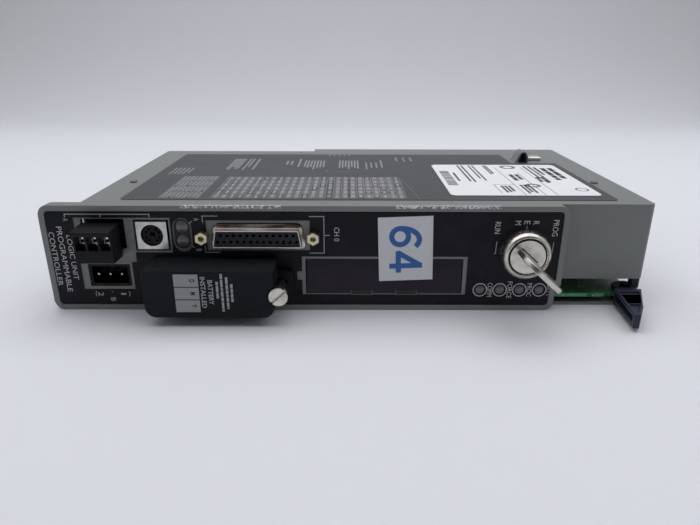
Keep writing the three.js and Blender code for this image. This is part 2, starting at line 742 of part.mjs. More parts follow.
// Pieces on the key's plane are built with the blade across X, then turned to the run position.
function atKeyAngle(body) {
  return body
    .translate([-lockX, 0, -lockZ])
    .rotate([0, -RUN_ANGLE, 0])
    .translate([lockX, 0, lockZ]);
}
const tailLength = 3;
const bladeHalf = KEYWAY_WIDTH / 2 - 0.5;
piece(
  "lock_plug",
  atKeyAngle(
    cut(
      join(
        bar("y", lockX, lockZ, PLUG_RADIUS, -PLUG_PROUD, LOCK_LENGTH - 2, 40),
        box(lockX - 3, lockX + 3, LOCK_LENGTH - 2.2, LOCK_LENGTH + tailLength, lockZ - 1.2, lockZ + 1.2),
      ),
      box(
        lockX - KEYWAY_WIDTH / 2,
        lockX + KEYWAY_WIDTH / 2,
        -PLUG_PROUD - EPS,
        KEY_BLADE - PLUG_PROUD + 1,
        lockZ - KEY_THICKNESS / 2 - FIT,
        lockZ + KEY_THICKNESS / 2 + FIT,
      ),
    ),
  ),
  NICKEL,
  0.35,
  1,
);
const bowFront = -PLUG_PROUD - KEY_NECK - KEY_BOW;
const bowRing = flat(
  roundedRect(
    lockX - KEY_BOW_WIDTH / 2,
    lockX + KEY_BOW_WIDTH / 2,
    bowFront,
    -PLUG_PROUD - KEY_NECK + 2,
    KEY_BOW_WIDTH * 0.36,
  ),
  lockZ - KEY_THICKNESS / 2,
  lockZ + KEY_THICKNESS / 2,
  8,
);
piece(
  "key",
  atKeyAngle(
    cut(
      join(
        bowRing,
        flat(
          outline([
            [lockX - bladeHalf, bowFront + KEY_BOW],
            [lockX + bladeHalf, bowFront + KEY_BOW],
            [lockX + bladeHalf, KEY_BLADE - PLUG_PROUD - 3],
            [lockX, KEY_BLADE - PLUG_PROUD],
            [lockX - bladeHalf, KEY_BLADE - PLUG_PROUD - 3],
          ]),
          lockZ - KEY_THICKNESS / 2,
          lockZ + KEY_THICKNESS / 2,
        ),
      ),
      bar("z", lockX, bowFront + 6, KEY_RING_HOLE, lockZ - KEY_THICKNESS, lockZ + KEY_THICKNESS, 16),
    ),
  ),
  NICKEL,
  0.3,
  1,
);
piece(
  "contact_block",
  cut(
    box(
      lockX - LOCK_BODY,
      lockX + LOCK_BODY,
      LOCK_LENGTH + SEAT,
      LOCK_LENGTH + 16,
      lockZ - LOCK_BODY,
      lockZ + LOCK_BODY,
    ),
    bar("y", lockX, lockZ, 3.3 + FIT, LOCK_LENGTH - EPS, LOCK_LENGTH + tailLength + 1, 24),
  ),
  BLACK_PLASTIC,
  0.5,
);

// ---- Lamps ----
// A lens with a shallow dome, seated in its hole.
function lens(name, x, z, radius, color) {
  const dome = 0.5;
  const rim = overlayFace + 0.1;
  const profile = [
    [0, rim - dome],
    [radius * 0.5, rim - dome * 0.75],
    [radius * 0.85, rim - dome * 0.3],
    [radius, rim],
    [radius, rim + LENS_LENGTH],
    [0, rim + LENS_LENGTH],
  ];
  piece(name, turned(profile, x, z, 20), color, 0.3);
}
statusLamps.forEach((l) => lens(`lens_${l.name}`, l.x, LAMP_RISE, STATUS_LENS, 0x4b4d52));
channelLamps.forEach((l) => lens(`lens_channel_${l.name}`, CHANNEL_X, l.z, CHANNEL_LENS, 0x3c3e42));

// ---- Serial connector ----
const flangeAt = BEZEL_PLATE + SEAT;
const flangeBack = flangeAt + FLANGE_THICKNESS;
const serialFace = overlayFace - SERIAL_PROUD;
const rootFace = overlayFace - 0.3;
// A body that passes evenly from one outline to another; both are round and have no hollows.
function flared(shapeA, yA, shapeB, yB) {
  const a = upright(shapeA, yA - 0.01, yA + 0.01);
  const b = upright(shapeB, yB - 0.01, yB + 0.01);
  return wasm.Manifold.hull([a, b]);
}
piece(
  "serial_shell",
  cut(
    join(
      upright(serialD(0), rootFace, flangeBack),
      flared(serialD(0), rootFace, serialD(-SERIAL_FLARE), rootFace - 0.9),
      flared(serialD(-SERIAL_FLARE), rootFace - 0.9, serialD(-SERIAL_FLARE - 0.15), serialFace),
      upright(
        roundedRect(
          SERIAL_X - JACK_PITCH / 2 - 3,
          SERIAL_X + JACK_PITCH / 2 + 3,
          serialZ - 5.6,
          serialZ + 6.1,
          1,
        ),
        flangeAt,
        flangeBack,
      ),
    ),
    upright(serialD(-SERIAL_FLARE - 0.15 - SERIAL_WALL), serialFace - EPS, flangeBack + EPS),
    ...jackScrews.map((j) => bar("y", j.x, serialZ, JACK_SHANK + FIT, flangeAt - EPS, flangeBack + EPS, 16)),
  ),
  NICKEL,
  0.3,
  1,
);
const insertFace = serialFace + 0.8;
const contactHoles = [];
for (const [count, z] of [
  [13, serialZ - CONTACT_ROW / 2],
  [12, serialZ + CONTACT_ROW / 2],
])
  for (let i = 0; i < count; i++) {
    const x = SERIAL_X + (i - (count - 1) / 2) * CONTACT_PITCH;
    contactHoles.push(bar("y", x, z, CONTACT_RADIUS, insertFace - EPS, insertFace + 5, 6));
  }
piece(
  "serial_insert",
  cut(
    join(
      upright(serialD(-SERIAL_FLARE - 0.15 - SERIAL_WALL - 0.12), insertFace, flangeBack + SEAT + 0.2),
      box(SERIAL_X - 20.5, SERIAL_X + 20.5, flangeBack + SEAT, flangeBack + 12, serialZ - 5.4, serialZ + 5.6),
    ),
    ...contactHoles,
  ),
  BLACK_PLASTIC,
  0.5,
);
jackScrews.forEach((j) =>
  piece(
    `jack_screw_${j.name}`,
    cut(
      join(
        bar("y", j.x, serialZ, JACK_HEX, -JACK_PROUD, overlayFace - SEAT, 6),
        bar("y", j.x, serialZ, JACK_SHANK, overlayFace - SEAT - 0.2, flangeBack + 5, 12),
      ),
      bar("y", j.x, serialZ, 1.15, -JACK_PROUD - EPS, -JACK_PROUD + 3, 12),
    ),
    GOLD,
    0.3,
    1,
  ),
);

// ---- Round programming port ----
const dinFace = overlayFace + 0.4;
piece(
  "din_shell",
  cut(
    box(
      DIN_X - DIN_WIDTH / 2,
      DIN_X + DIN_WIDTH / 2,
      dinFace,
      dinFace + DIN_DEPTH + 2,
      dinZ - DIN_HEIGHT / 2,
      dinZ + DIN_HEIGHT / 2,
    ),
    bar("y", DIN_X, dinZ, DIN_SOCKET, dinFace - EPS, dinFace + DIN_DEPTH, 32),
  ),
  STEEL,
  0.3,
  1,
);
const dinAngles = [22, 58, 122, 158, 202, 238, 302, 338];
piece(
  "din_insert",
  cut(
    bar("y", DIN_X, dinZ, DIN_SOCKET - 0.25, dinFace + 1.1, dinFace + DIN_DEPTH - SEAT, 32),
    ...dinAngles.map((a) => {
      const t = (a * Math.PI) / 180;
      const r = DIN_SOCKET * 0.62;
      return bar("y", DIN_X + r * Math.cos(t), dinZ + r * Math.sin(t), DIN_PIN_HOLE, dinFace, dinFace + 6, 6);
    }),
    box(DIN_X - 0.9, DIN_X + 0.9, dinFace, dinFace + 6, dinZ - 0.6, dinZ + 0.9),
  ),
  BLACK_PLASTIC,
  0.5,
);

// ---- Port A: board header and pull-off plug with its clamps and screws ----
const headerFace = overlayFace + 0.85;
const tailLeft = portX - PLUG_WIDTH / 2 + PLUG_SHOULDER;
const tailRight = portX + PLUG_WIDTH / 2 - PLUG_SHOULDER;
const tailBottom = plugBottom + 1.5;
const tailTop = plugTop - 1.8;
const poleZ = (tailBottom + tailTop) / 2;
const headerDepth = PLUG_TAIL + 5;
const headerAFace = BEZEL_PLATE + SEAT; // behind the panel, clear of the tongue
piece(
  "header_a",
  join(
    cut(
      box(
        tailLeft - FIT - PORT_WALL,
        tailRight + FIT + PORT_WALL,
        headerAFace,
        headerFace + headerDepth,
        tailBottom - FIT - PORT_WALL,
        tailTop + FIT + PORT_WALL,
      ),
      box(
        tailLeft - FIT,
        tailRight + FIT,
        headerAFace - EPS,
        PLUG_TAIL + 2,
        tailBottom - FIT,
        tailTop + FIT,
      ),
    ),
    ...poles.map((x) =>
      box(
        x - PIN_SIDE / 2,
        x + PIN_SIDE / 2,
        PLUG_TAIL - 5,
        PLUG_TAIL + 3,
        poleZ - PIN_SIDE / 2,
        poleZ + PIN_SIDE / 2,
      ),
    ),
  ),
  BLACK_PLASTIC,
  0.5,
);
const plugBack = -FIT;
const cellTop = plugTop - 2.6;
const cellBottom = cellTop - WIRE_CELL_HEIGHT;
const screwY = -PLUG_FRONT + 5.2;
const plugProfile = outline([
  [-PLUG_FRONT, plugBottom],
  [plugBack, plugBottom],
  [plugBack, tailBottom],
  [PLUG_TAIL, tailBottom],
  [PLUG_TAIL, tailTop],
  [plugBack, tailTop],
  [plugBack, plugTop + 0.8],
  [-PLUG_FRONT - PLUG_LIP, plugTop],
  [-PLUG_FRONT - PLUG_LIP, plugTop - 1.7],
  [-PLUG_FRONT, plugTop - 2.1],
]);
piece(
  "terminal_plug",
  cut(
    sideways(plugProfile, portX - PLUG_WIDTH / 2, portX + PLUG_WIDTH / 2),
    box(portX - PLUG_WIDTH, tailLeft, plugBack, PLUG_TAIL + EPS, plugBottom - EPS, plugTop + EPS),
    box(tailRight, portX + PLUG_WIDTH, plugBack, PLUG_TAIL + EPS, plugBottom - EPS, plugTop + EPS),
    ...poles.map((x) =>
      box(x - WIRE_CELL / 2, x + WIRE_CELL / 2, -PLUG_FRONT - EPS, -PLUG_FRONT + 8.5, cellBottom, cellTop),
    ),
    ...poles.map((x) => bar("z", x, screwY, WIRE_SCREW + FIT, plugBottom - EPS, cellBottom + EPS, 16)),
    ...poles.map((x) =>
      box(
        x - PIN_SIDE / 2 - FIT,
        x + PIN_SIDE / 2 + FIT,
        PLUG_TAIL - 6,
        PLUG_TAIL + EPS,
        poleZ - PIN_SIDE / 2 - FIT,
        poleZ + PIN_SIDE / 2 + FIT,
      ),
    ),
  ),
  BLACK_PLASTIC,
  0.5,
);
const screwShank = WIRE_SCREW * 0.65;
const clampHeight = WIRE_CELL - 0.2;
const clampBottom = cellTop - 0.1 - clampHeight;
poles.forEach((x, i) => {
  const half = WIRE_CELL / 2 - 0.12;
  const y0 = -PLUG_FRONT + 3.6;
  const y1 = -PLUG_FRONT + 8.3;
  piece(
    `wire_clamp_${i + 1}`,
    cut(
      box(x - half, x + half, y0, y1, clampBottom, clampBottom + clampHeight),
      box(
        x - half + CLAMP_WALL,
        x + half - CLAMP_WALL,
        y0 - EPS,
        y1 + EPS,
        clampBottom + CLAMP_WALL,
        clampBottom + clampHeight - CLAMP_WALL,
      ),
      bar("z", x, screwY, screwShank + FIT, clampBottom - EPS, clampBottom + CLAMP_WALL + EPS, 12),
    ),
    STEEL,
    0.3,
    1,
  );
});
const screwTip = clampBottom + CLAMP_WALL + FIT;
poles.forEach((x, i) => {
  const headBottom = plugBottom + 0.5;
  piece(
    `terminal_screw_${i + 1}`,
    cut(
      join(
        bar("z", x, screwY, WIRE_SCREW, headBottom, headBottom + 1.8, 16),
        bar("z", x, screwY, screwShank, headBottom + 1.6, screwTip, 12),
      ),
      box(x - 0.25, x + 0.25, screwY - 2, screwY + 2, headBottom - EPS, headBottom + 0.7),
    ),
    STEEL,
    0.3,
    1,
  );
});

// ---- Port B: open pin header ----
const headerB = {
  x0: PORT_LEFT + FIT,
  x1: portRight - FIT,
  z0: portBBottom + 0.25,
  z1: portBTop - 0.25,
  y0: headerFace,
  y1: headerFace + 13,
};
const socketFloor = headerB.y0 + 9.5;
const pinZ = (headerB.z0 + headerB.z1) / 2;
const pinHole = PIN_SIDE / 2 + 0.1;
piece(
  "header_b",
  cut(
    box(headerB.x0, headerB.x1, headerB.y0, headerB.y1, headerB.z0, headerB.z1),
    box(
      headerB.x0 + PORT_WALL,
      headerB.x1 - PORT_WALL,
      headerB.y0 - EPS,
      socketFloor,
      headerB.z0 + PORT_WALL,
      headerB.z1 - PORT_WALL,
    ),
    ...poles.map((x) =>
      box(x - pinHole, x + pinHole, socketFloor - EPS, headerB.y1 + EPS, pinZ - pinHole, pinZ + pinHole),
    ),
  ),
  BLACK_PLASTIC,
  0.5,
);
poles.forEach((x, i) =>
  piece(
    `header_b_pin_${i + 1}`,
    box(
      x - PIN_SIDE / 2,
      x + PIN_SIDE / 2,
      headerB.y0 + 1,
      headerB.y1 + 3,
      pinZ - PIN_SIDE / 2,
      pinZ + PIN_SIDE / 2,
    ),
    STEEL,
    0.3,
    1,
  ),
);

// ---- Battery compartment ----
const coverBack = overlayFace - SEAT;
const corner = Math.min(BATTERY_CORNER, BATTERY_HEIGHT / 3);
const earRight = thumbX + THUMB_SHANK + 3;
piece(
  "battery_cover",
  cut(
    join(
      upright(
        roundedRect(BATTERY_LEFT, batteryRight, BATTERY_BOTTOM, batteryTop, [corner, corner, 0.8, 0.8]),
        -BATTERY_PROUD,
        coverBack,
        4,
      ),
      upright(
        roundedRect(batteryRight - 4, earRight, THUMB_Z - EAR_HALF, THUMB_Z + EAR_HALF, 2),
        coverBack - EAR_THICKNESS,
        coverBack,
        4,
      ),
    ),
    upright(
      roundedRect(
        BATTERY_LEFT + BATTERY_WALL,
        batteryRight - BATTERY_WALL - THUMB_SHANK - 0.6,
        BATTERY_BOTTOM + BATTERY_WALL,
        batteryTop - BATTERY_WALL,
        Math.max(corner - BATTERY_WALL, 0.5),
      ),
      -BATTERY_PROUD + BATTERY_WALL,
      coverBack + EPS,
      4,
    ),
    bar("y", thumbX, THUMB_Z, THUMB_SHANK + FIT, -BATTERY_PROUD - EPS, coverBack + EPS, 20),
    bar("y", thumbX, THUMB_Z, THUMB_HEAD + FIT, -BATTERY_PROUD - EPS, -BATTERY_PROUD + THUMB_HEIGHT, 24),
  ),
  CHARCOAL,
  0.6,
);
const thumbFace = -BATTERY_PROUD - 0.8;
piece(
  "battery_screw",
  cut(
    join(
      bar("y", thumbX, THUMB_Z, THUMB_HEAD, thumbFace, thumbFace + THUMB_HEIGHT, 24),
      bar("y", thumbX, THUMB_Z, THUMB_SHANK, thumbFace + THUMB_HEIGHT - 0.2, BEZEL_DEPTH - 1, 16),
    ),
    box(thumbX - 6, thumbX + 6, thumbFace - EPS, thumbFace + 1.1, THUMB_Z - 0.4, THUMB_Z + 0.4)
      .translate([-thumbX, 0, -THUMB_Z])
      .rotate([0, -42, 0])
      .translate([thumbX, 0, THUMB_Z]),
  ),
  NICKEL,
  0.3,
  1,
);
const cellRadius = Math.min(
  CELL_RADIUS,
  BATTERY_HEIGHT / 2 - BATTERY_WALL - FIT,
  BATTERY_PROUD / 2 - BATTERY_WALL,
);
const cellZ = (BATTERY_BOTTOM + batteryTop) / 2;
const cellY = coverBack - 0.9 - cellRadius;
const cellLeft = trayLeft + 1.6;
const cellRight = cellLeft + Math.min(CELL_LENGTH, trayRight - trayLeft - 6);
piece(
  "battery_cell",
  join(
    bar("x", cellY, cellZ, cellRadius, cellLeft, cellRight - 1, 28),
    bar("x", cellY, cellZ, cellRadius * 0.35, cellRight - 1.2, cellRight, 16),
  ),
  0x3f6f8c,
  0.4,
);
const trayFace = coverBack - 0.3;
piece(
  "battery_tray",
  join(
    box(trayLeft, trayRight, trayFace, BEZEL_PLATE + 1, trayBottom, trayTop),
    box(trayLeft, cellLeft - SEAT, cellY - 2, trayFace + 0.2, cellZ - 5, cellZ + 5),
    box(cellRight + SEAT, cellRight + 1.6, cellY - 2, trayFace + 0.2, cellZ - 5, cellZ + 5),
  ),
  BLACK_PLASTIC,
  0.5,
);
const dateLeft = BATTERY_LEFT + 13.1;
const dateFace = -BATTERY_PROUD - SEAT;
piece(
  "date_label",
  box(dateLeft, dateLeft + 10, dateFace - LABEL, dateFace, BATTERY_BOTTOM + 2.8, batteryTop - 1.4),
  PAPER,
  0.6,
);

// ---- Memory window: smoked cover that snaps into the bezel ----
const windowProfile = outline([
  [overlayFace + 0.1, WINDOW_BOTTOM + FIT],
  [BEZEL_PLATE - 0.2, WINDOW_BOTTOM + FIT],
  [BEZEL_PLATE + 1.2, windowTop - FIT],
  [overlayFace + WINDOW_RECESS, windowTop - FIT],
]);
piece("memory_window", sideways(windowProfile, windowLeft + FIT, windowRight - FIT), SMOKE, 0.15);
const windowMiddle = (windowLeft + windowRight) / 2;
const socketHalf = (windowRight - windowLeft) * 0.36;
const socketTop = Math.min(windowTop, upperBottom - 1);
piece(
  "memory_socket",
  cut(
    box(
      windowMiddle - socketHalf,
      windowMiddle + socketHalf,
      coverFront + 4,
      coverFront + 24,
      boardTop + SEAT,
      socketTop,
    ),
    box(
      windowMiddle - socketHalf + 2,
      windowMiddle + socketHalf - 2,
      coverFront + 4 - EPS,
      coverFront + 20,
      boardTop + 4,
      socketTop - 2.4,
    ),
  ),
  BLACK_PLASTIC,
  0.5,
);

// ---- Ejector lever, its pin and the spring clip on the cover ----
// Plan outline from the pivot: heel, outer corner, knuckle and tip.
const leverPlan = [
  [-6.2, -4],
  [5.9, -4.2],
  [-2.1, -22.9],
  [-6.9, -31.2],
  [-9.2, -30.8],
];
const spineDirection = new THREE.Vector2(8, 18.8).normalize();
const spineNormal = new THREE.Vector2(spineDirection.y, -spineDirection.x);
const spineOffset = new THREE.Vector2(...leverPlan[1]).dot(spineNormal) - LEVER_SPINE;
// everything on the pivot's side of the spine, which the board must pass through
const slotPlan = [
  spineNormal.clone().multiplyScalar(spineOffset).addScaledVector(spineDirection, 30),
  spineNormal.clone().multiplyScalar(spineOffset - 30).addScaledVector(spineDirection, 30),
  spineNormal.clone().multiplyScalar(spineOffset - 30).addScaledVector(spineDirection, -LEVER_SLOT_REACH),
  spineNormal.clone().multiplyScalar(spineOffset).addScaledVector(spineDirection, -LEVER_SLOT_REACH),
];
const atPivot = ([x, y]) => [pivotX + x, pivotY + y];
const slotMiddle = (boardBottom + boardTop) / 2;
// The hollow in the lever's top keeps a rim along the outline; ribs cross it.
const leverPocket = [
  [-5.4, -7],
  [3.5, -7],
  [-3.1, -22.4],
  [-6.6, -28.2],
  [-7.7, -28.2],
];
const ribHeight = [LEVER_TOP - 2 * LEVER_POCKET, LEVER_TOP + 2 * EPS];
const leverRibs = [-11.4, -15.8, -20.2].map((y) =>
  box(pivotX - 10, pivotX + 6, pivotY + y, pivotY + y + LEVER_RIB, ...ribHeight),
);
piece(
  "ejector_lever",
  cut(
    join(
      flat(outline(leverPlan.map(atPivot)), LEVER_BOTTOM, LEVER_TOP),
      bar("z", pivotX, pivotY, 5.4, LEVER_BOTTOM, LEVER_TOP, 28),
      box(
        pivotX + LEVER_PIN + FIT + 0.3,
        pivotX + LEVER_PIN + FIT + 0.3 + LEVER_BLOCK * 0.8,
        pivotY - LEVER_BLOCK / 2,
        pivotY + LEVER_BLOCK / 2,
        LEVER_TOP - EPS,
        SKIRT_HEIGHT - 0.8,
      ),
    ),
    flat(
      outline(slotPlan.map((v) => atPivot([v.x, v.y]))),
      slotMiddle - LEVER_SLOT / 2,
      slotMiddle + LEVER_SLOT / 2,
    ),
    cut(flat(outline(leverPocket.map(atPivot)), LEVER_TOP - LEVER_POCKET, LEVER_TOP + EPS), ...leverRibs),
    bar("z", pivotX, pivotY, LEVER_PIN + FIT, LEVER_BOTTOM - EPS, LEVER_TOP + EPS, 20),
  ),
  NYLON,
  0.5,
);
piece(
  "ejector_pin",
  join(
    bar("z", pivotX, pivotY, LEVER_PIN, LEVER_BOTTOM, LEVER_TOP + 1, 20),
    bar("z", pivotX, pivotY, LEVER_PIN + FIT + 0.2, LEVER_TOP + FIT, LEVER_TOP + 1.4, 20),
  ),
  BLACK_PLASTIC,
  0.4,
);
// The clip's side view: it comes up through its slot, bends back and ripples twice over the cover.
const clipRise = coverTop + CLIP_RISE;
const clipTopLine = [
  [0, -2.6],
  [0, -0.7],
  [0.5, -0.15],
  [1.2, 0],
  [2.2, -0.35],
  [3.2, -0.75],
  [4.2, -0.35],
  [5.4, 0],
  [6.6, -0.35],
  [CLIP_LENGTH, CLIP_SHEET + SEAT - CLIP_RISE],
].map(([y, z]) => [clipFront + y, clipRise + z]);
const clipLowerLine = clipTopLine
  .map(([y, z], i) => (i < 3 ? [y + CLIP_SHEET, z] : [y, z - CLIP_SHEET]))
  .reverse();
piece(
  "ground_spring",
  sideways(outline([...clipTopLine, ...clipLowerLine]), clipX[0] + FIT, clipX[1] - FIT),
  STEEL,
  0.25,
  1,
);

// ---- Labels ----
const labelTop = coverTop + SEAT + LABEL;
const labelRight = coverRight - 13.4;
const labelRear = coverRear - 12.5;
piece(
  "side_label",
  cut(
    flat(
      roundedRect(coverLeft + 15, labelRight, coverFront + 5.7, labelRear, 2.5),
      coverTop + SEAT,
      labelTop,
    ),
    box(
      hoodX - HOOD_HALF - HOOD_SLOPE - 1,
      labelRight + EPS,
      hoodFront - 2.5,
      labelRear + EPS,
      coverTop - EPS,
      labelTop + EPS,
    ),
  ),
  LABEL_GREY,
  0.6,
);
piece(
  "rating_label",
  flat(
    roundedRect(labelRight - 72.1, labelRight - 3.9, coverFront + 13.3, coverFront + 83.4, 3),
    labelTop + SEAT,
    labelTop + SEAT + LABEL,
  ),
  PAPER,
  0.5,
);
const stickerX = (windowLeft + windowRight) / 2 + 8.9;
const stickerZ = windowTop + STICKER_RISE;
piece(
  "number_sticker",
  box(
    -STICKER_WIDTH / 2,
    STICKER_WIDTH / 2,
    overlayFace - SEAT - LABEL,
    overlayFace - SEAT,
    -STICKER_HEIGHT / 2,
    STICKER_HEIGHT / 2,
  )
    .rotate([0, -STICKER_TILT, 0])
    .translate([stickerX, 0, stickerZ]),
  PAPER,
  0.4,
);

// The origin is the middle of the module's box, at the level it lies on.
const bounds = new THREE.Box3().setFromObject(part);
part.position.set(
  -(bounds.min.x + bounds.max.x) / 2,
  -(bounds.min.y + bounds.max.y) / 2,
  -bounds.min.z,
);

export default part;
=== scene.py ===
"""Looks of a rack-mounted controller module that lies on its side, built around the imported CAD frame.

Places are worked out in the panel frame: millimetres from the lower left front corner of the front bezel,
X along the panel, Y backwards and Z up. to_frame() turns them into metres of the CAD frame.
"""
import json
import math

import bmesh
import bpy
import numpy as np
from mathutils import Matrix, Vector


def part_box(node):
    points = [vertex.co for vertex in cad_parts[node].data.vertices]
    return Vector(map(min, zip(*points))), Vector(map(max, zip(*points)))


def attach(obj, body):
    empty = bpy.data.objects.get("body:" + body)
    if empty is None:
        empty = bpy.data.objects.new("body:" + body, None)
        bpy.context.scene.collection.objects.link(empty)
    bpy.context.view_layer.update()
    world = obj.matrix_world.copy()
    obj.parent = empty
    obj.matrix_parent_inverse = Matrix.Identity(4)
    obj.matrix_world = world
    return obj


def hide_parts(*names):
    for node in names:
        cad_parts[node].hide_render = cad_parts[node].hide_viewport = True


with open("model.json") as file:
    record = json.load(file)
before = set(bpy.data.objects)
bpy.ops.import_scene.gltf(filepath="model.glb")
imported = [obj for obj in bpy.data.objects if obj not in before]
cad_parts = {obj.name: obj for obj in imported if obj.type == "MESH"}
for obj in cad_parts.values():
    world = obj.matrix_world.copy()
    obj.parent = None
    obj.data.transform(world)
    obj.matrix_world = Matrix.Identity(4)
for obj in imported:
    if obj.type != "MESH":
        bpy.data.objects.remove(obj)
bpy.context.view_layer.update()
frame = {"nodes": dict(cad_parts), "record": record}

MM = 0.001
CORNER = np.array(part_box("front_bezel")[0])


def to_frame(points):
    """Panel millimetres to metres in the CAD frame."""
    return CORNER + np.asarray(points, float) * MM


def span(node):
    """Lowest and highest corner of a CAD node, in panel millimetres."""
    low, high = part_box(node)
    return (np.array(low) - CORNER) / MM, (np.array(high) - CORNER) / MM


def middle(node):
    low, high = span(node)
    return (low + high) / 2


# ---------------------------------------------------------------- camera
EYE = (130.765, -229.665, 110.136)
PITCH = math.radians(-20.858)
YAW = math.radians(0.025)
ROLL = math.radians(0.135)
LENS = 29.27
SENSOR = 36.0


def add_camera():
    """A camera at EYE that looks along +Y, turned by yaw, pitch and roll."""
    ahead = Vector((math.sin(YAW) * math.cos(PITCH), math.cos(YAW) * math.cos(PITCH), math.sin(PITCH)))
    level = Vector((math.cos(YAW), -math.sin(YAW), 0))
    above = level.cross(ahead)
    right = math.cos(ROLL) * level + math.sin(ROLL) * above
    up = right.cross(ahead)
    data = bpy.data.cameras.new("camera")
    data.lens = LENS
    data.sensor_width = SENSOR
    data.clip_start = 0.01
    data.clip_end = 20
    camera = bpy.data.objects.new("camera", data)
    turn = Matrix((right, up, -ahead)).transposed().to_4x4()
    camera.matrix_world = Matrix.Translation(to_frame(EYE)) @ turn
    bpy.context.scene.collection.objects.link(camera)
    bpy.context.scene.camera = camera


add_camera()


# ---------------------------------------------------------------- shader maths
class Term:
    """A shader value. Arithmetic on it adds Math nodes to its finish."""

    def __init__(self, finish, socket):
        self.finish = finish
        self.socket = socket

    def maths(self, operation, *values):
        sockets = dict(enumerate(values))
        return self.finish.node("ShaderNodeMath", {"operation": operation}, sockets)

    def __add__(self, other):
        return self.maths("ADD", self, other)

    def __radd__(self, other):
        return self.maths("ADD", other, self)

    def __sub__(self, other):
        return self.maths("SUBTRACT", self, other)

    def __rsub__(self, other):
        return self.maths("SUBTRACT", other, self)

    def __mul__(self, other):
        return self.maths("MULTIPLY", self, other)

    def __rmul__(self, other):
        return self.maths("MULTIPLY", other, self)

    def __truediv__(self, other):
        return self.maths("DIVIDE", self, other)

    def __gt__(self, other):
        return self.maths("GREATER_THAN", self, other)

    def __lt__(self, other):
        return self.maths("LESS_THAN", self, other)

    def smooth(self, low, high):
        """0 below low and 1 above high, with a soft step between."""
        settings = {"interpolation_type": "SMOOTHSTEP"}
        return self.finish.node("ShaderNodeMapRange", settings, {0: self, 1: low, 2: high, 3: 0.0, 4: 1.0})


class Finish:
    """A material made of nodes: a Principled shader and what varies over the surface."""

    def __init__(self, name, color, roughness, metallic=0.0, **fixed):
        self.material = bpy.data.materials.new(name)
        self.material.use_nodes = True
        self.tree = self.material.node_tree
        self.shader = self.tree.nodes["Principled BSDF"]
        self.color = tuple(color)
        self.set("Base Color", (*color, 1))
        self.set("Roughness", roughness)
        self.set("Metallic", metallic)
        for label, value in fixed.items():
            self.set(label.replace("_", " "), value)
        self.place = self.node("ShaderNodeTexCoord", output="Object")

    def put(self, socket, value):
        if isinstance(value, Term):
            self.tree.links.new(value.socket, socket)
        else:
            socket.default_value = value

    def set(self, label, value):
        self.put(self.shader.inputs[label], value)

    def node(self, kind, settings=None, values=None, output=0):
        """Adds a node, sets its settings first and then its sockets, and returns one of its outputs."""
        made = self.tree.nodes.new(kind)
        for key, value in (settings or {}).items():
            setattr(made, key, value)
        for key, value in (values or {}).items():
            self.put(made.inputs[key], value)
        return Term(self, made.outputs[output])

    def grid(self, stretch=(1, 1, 1)):
        """Object coordinates in millimetres, stretched along the axes."""
        scale = tuple(s / MM for s in stretch)
        return self.node("ShaderNodeMapping", None, {"Vector": self.place, "Scale": scale})

    def axis(self, index):
        """One Object coordinate in metres: 0 for X, 1 for Y, 2 for Z."""
        return self.node("ShaderNodeSeparateXYZ", None, {0: self.place}, index)

    def noise(self, size, detail=2.0, stretch=(1, 1, 1), roughness=0.5):
        """Cloudy noise whose lumps are about size millimetres across."""
        values = {"Vector": self.grid(stretch), "Scale": 1 / size, "Detail": detail, "Roughness": roughness}
        return self.node("ShaderNodeTexNoise", None, values)

    def cells(self, size):
        """Distance to the nearest of scattered points about size millimetres apart."""
        return self.node("ShaderNodeTexVoronoi", None, {"Vector": self.grid(), "Scale": 1 / size}, "Distance")

    def mix(self, factor, first, second):
        """A colour between two colours."""
        values = {0: factor, 6: self.rgba(first), 7: self.rgba(second)}
        return self.node("ShaderNodeMix", {"data_type": "RGBA"}, values, 2)

    @staticmethod
    def rgba(color):
        return color if isinstance(color, Term) else (*color[:3], 1)

    def shade(self, factor):
        """The finish's own colour made darker or lighter."""
        return tuple(min(c * factor, 1) for c in self.color)

    def bump(self, height, depth):
        """A bump whose full height is depth millimetres."""
        values = {"Height": height, "Distance": depth * MM, "Strength": 1.0}
        self.set("Normal", self.node("ShaderNodeBump", None, values))


def painted_finish(name):
    """Powder coat: fine orange peel, faint clouds and a few rubbed spots."""
    f = Finish(name, (0.200, 0.212, 0.206), 0.42)
    peel = f.noise(0.55, 3)
    clouds = f.noise(38, 2)
    rubs = f.noise(9, 5, roughness=0.7).smooth(0.60, 0.74)
    tone = f.mix(clouds, f.shade(0.92), f.shade(1.08))
    f.tone = f.mix(rubs * 0.25, tone, (0.26, 0.27, 0.27))
    f.set("Base Color", f.tone)
    f.set("Roughness", 0.36 + 0.10 * clouds + 0.08 * rubs)
    f.bump(peel, 0.035)
    return f


def overlay_film():
    """Printed film: velvet grain, with faint handling marks."""
    f = Finish("overlay_film", (0.007, 0.007, 0.012), 0.5, Specular_IOR_Level=0.2)
    grain = f.noise(0.18, 2)
    marks = f.noise(14, 4, roughness=0.65)
    f.set("Base Color", f.mix(marks.smooth(0.45, 0.8), f.shade(0.9), f.shade(1.9)))
    f.set("Roughness", 0.40 + 0.18 * marks)
    f.bump(grain, 0.012)
    return f.material


def label_grey():
    f = Finish("label_grey", (0.052, 0.054, 0.061), 0.5)
    marks = f.noise(22, 4, roughness=0.6)
    f.set("Base Color", f.mix(marks, f.shade(0.9), f.shade(1.12)))
    f.set("Roughness", 0.42 + 0.16 * marks)
    f.bump(f.noise(0.4, 2), 0.01)
    return f.material


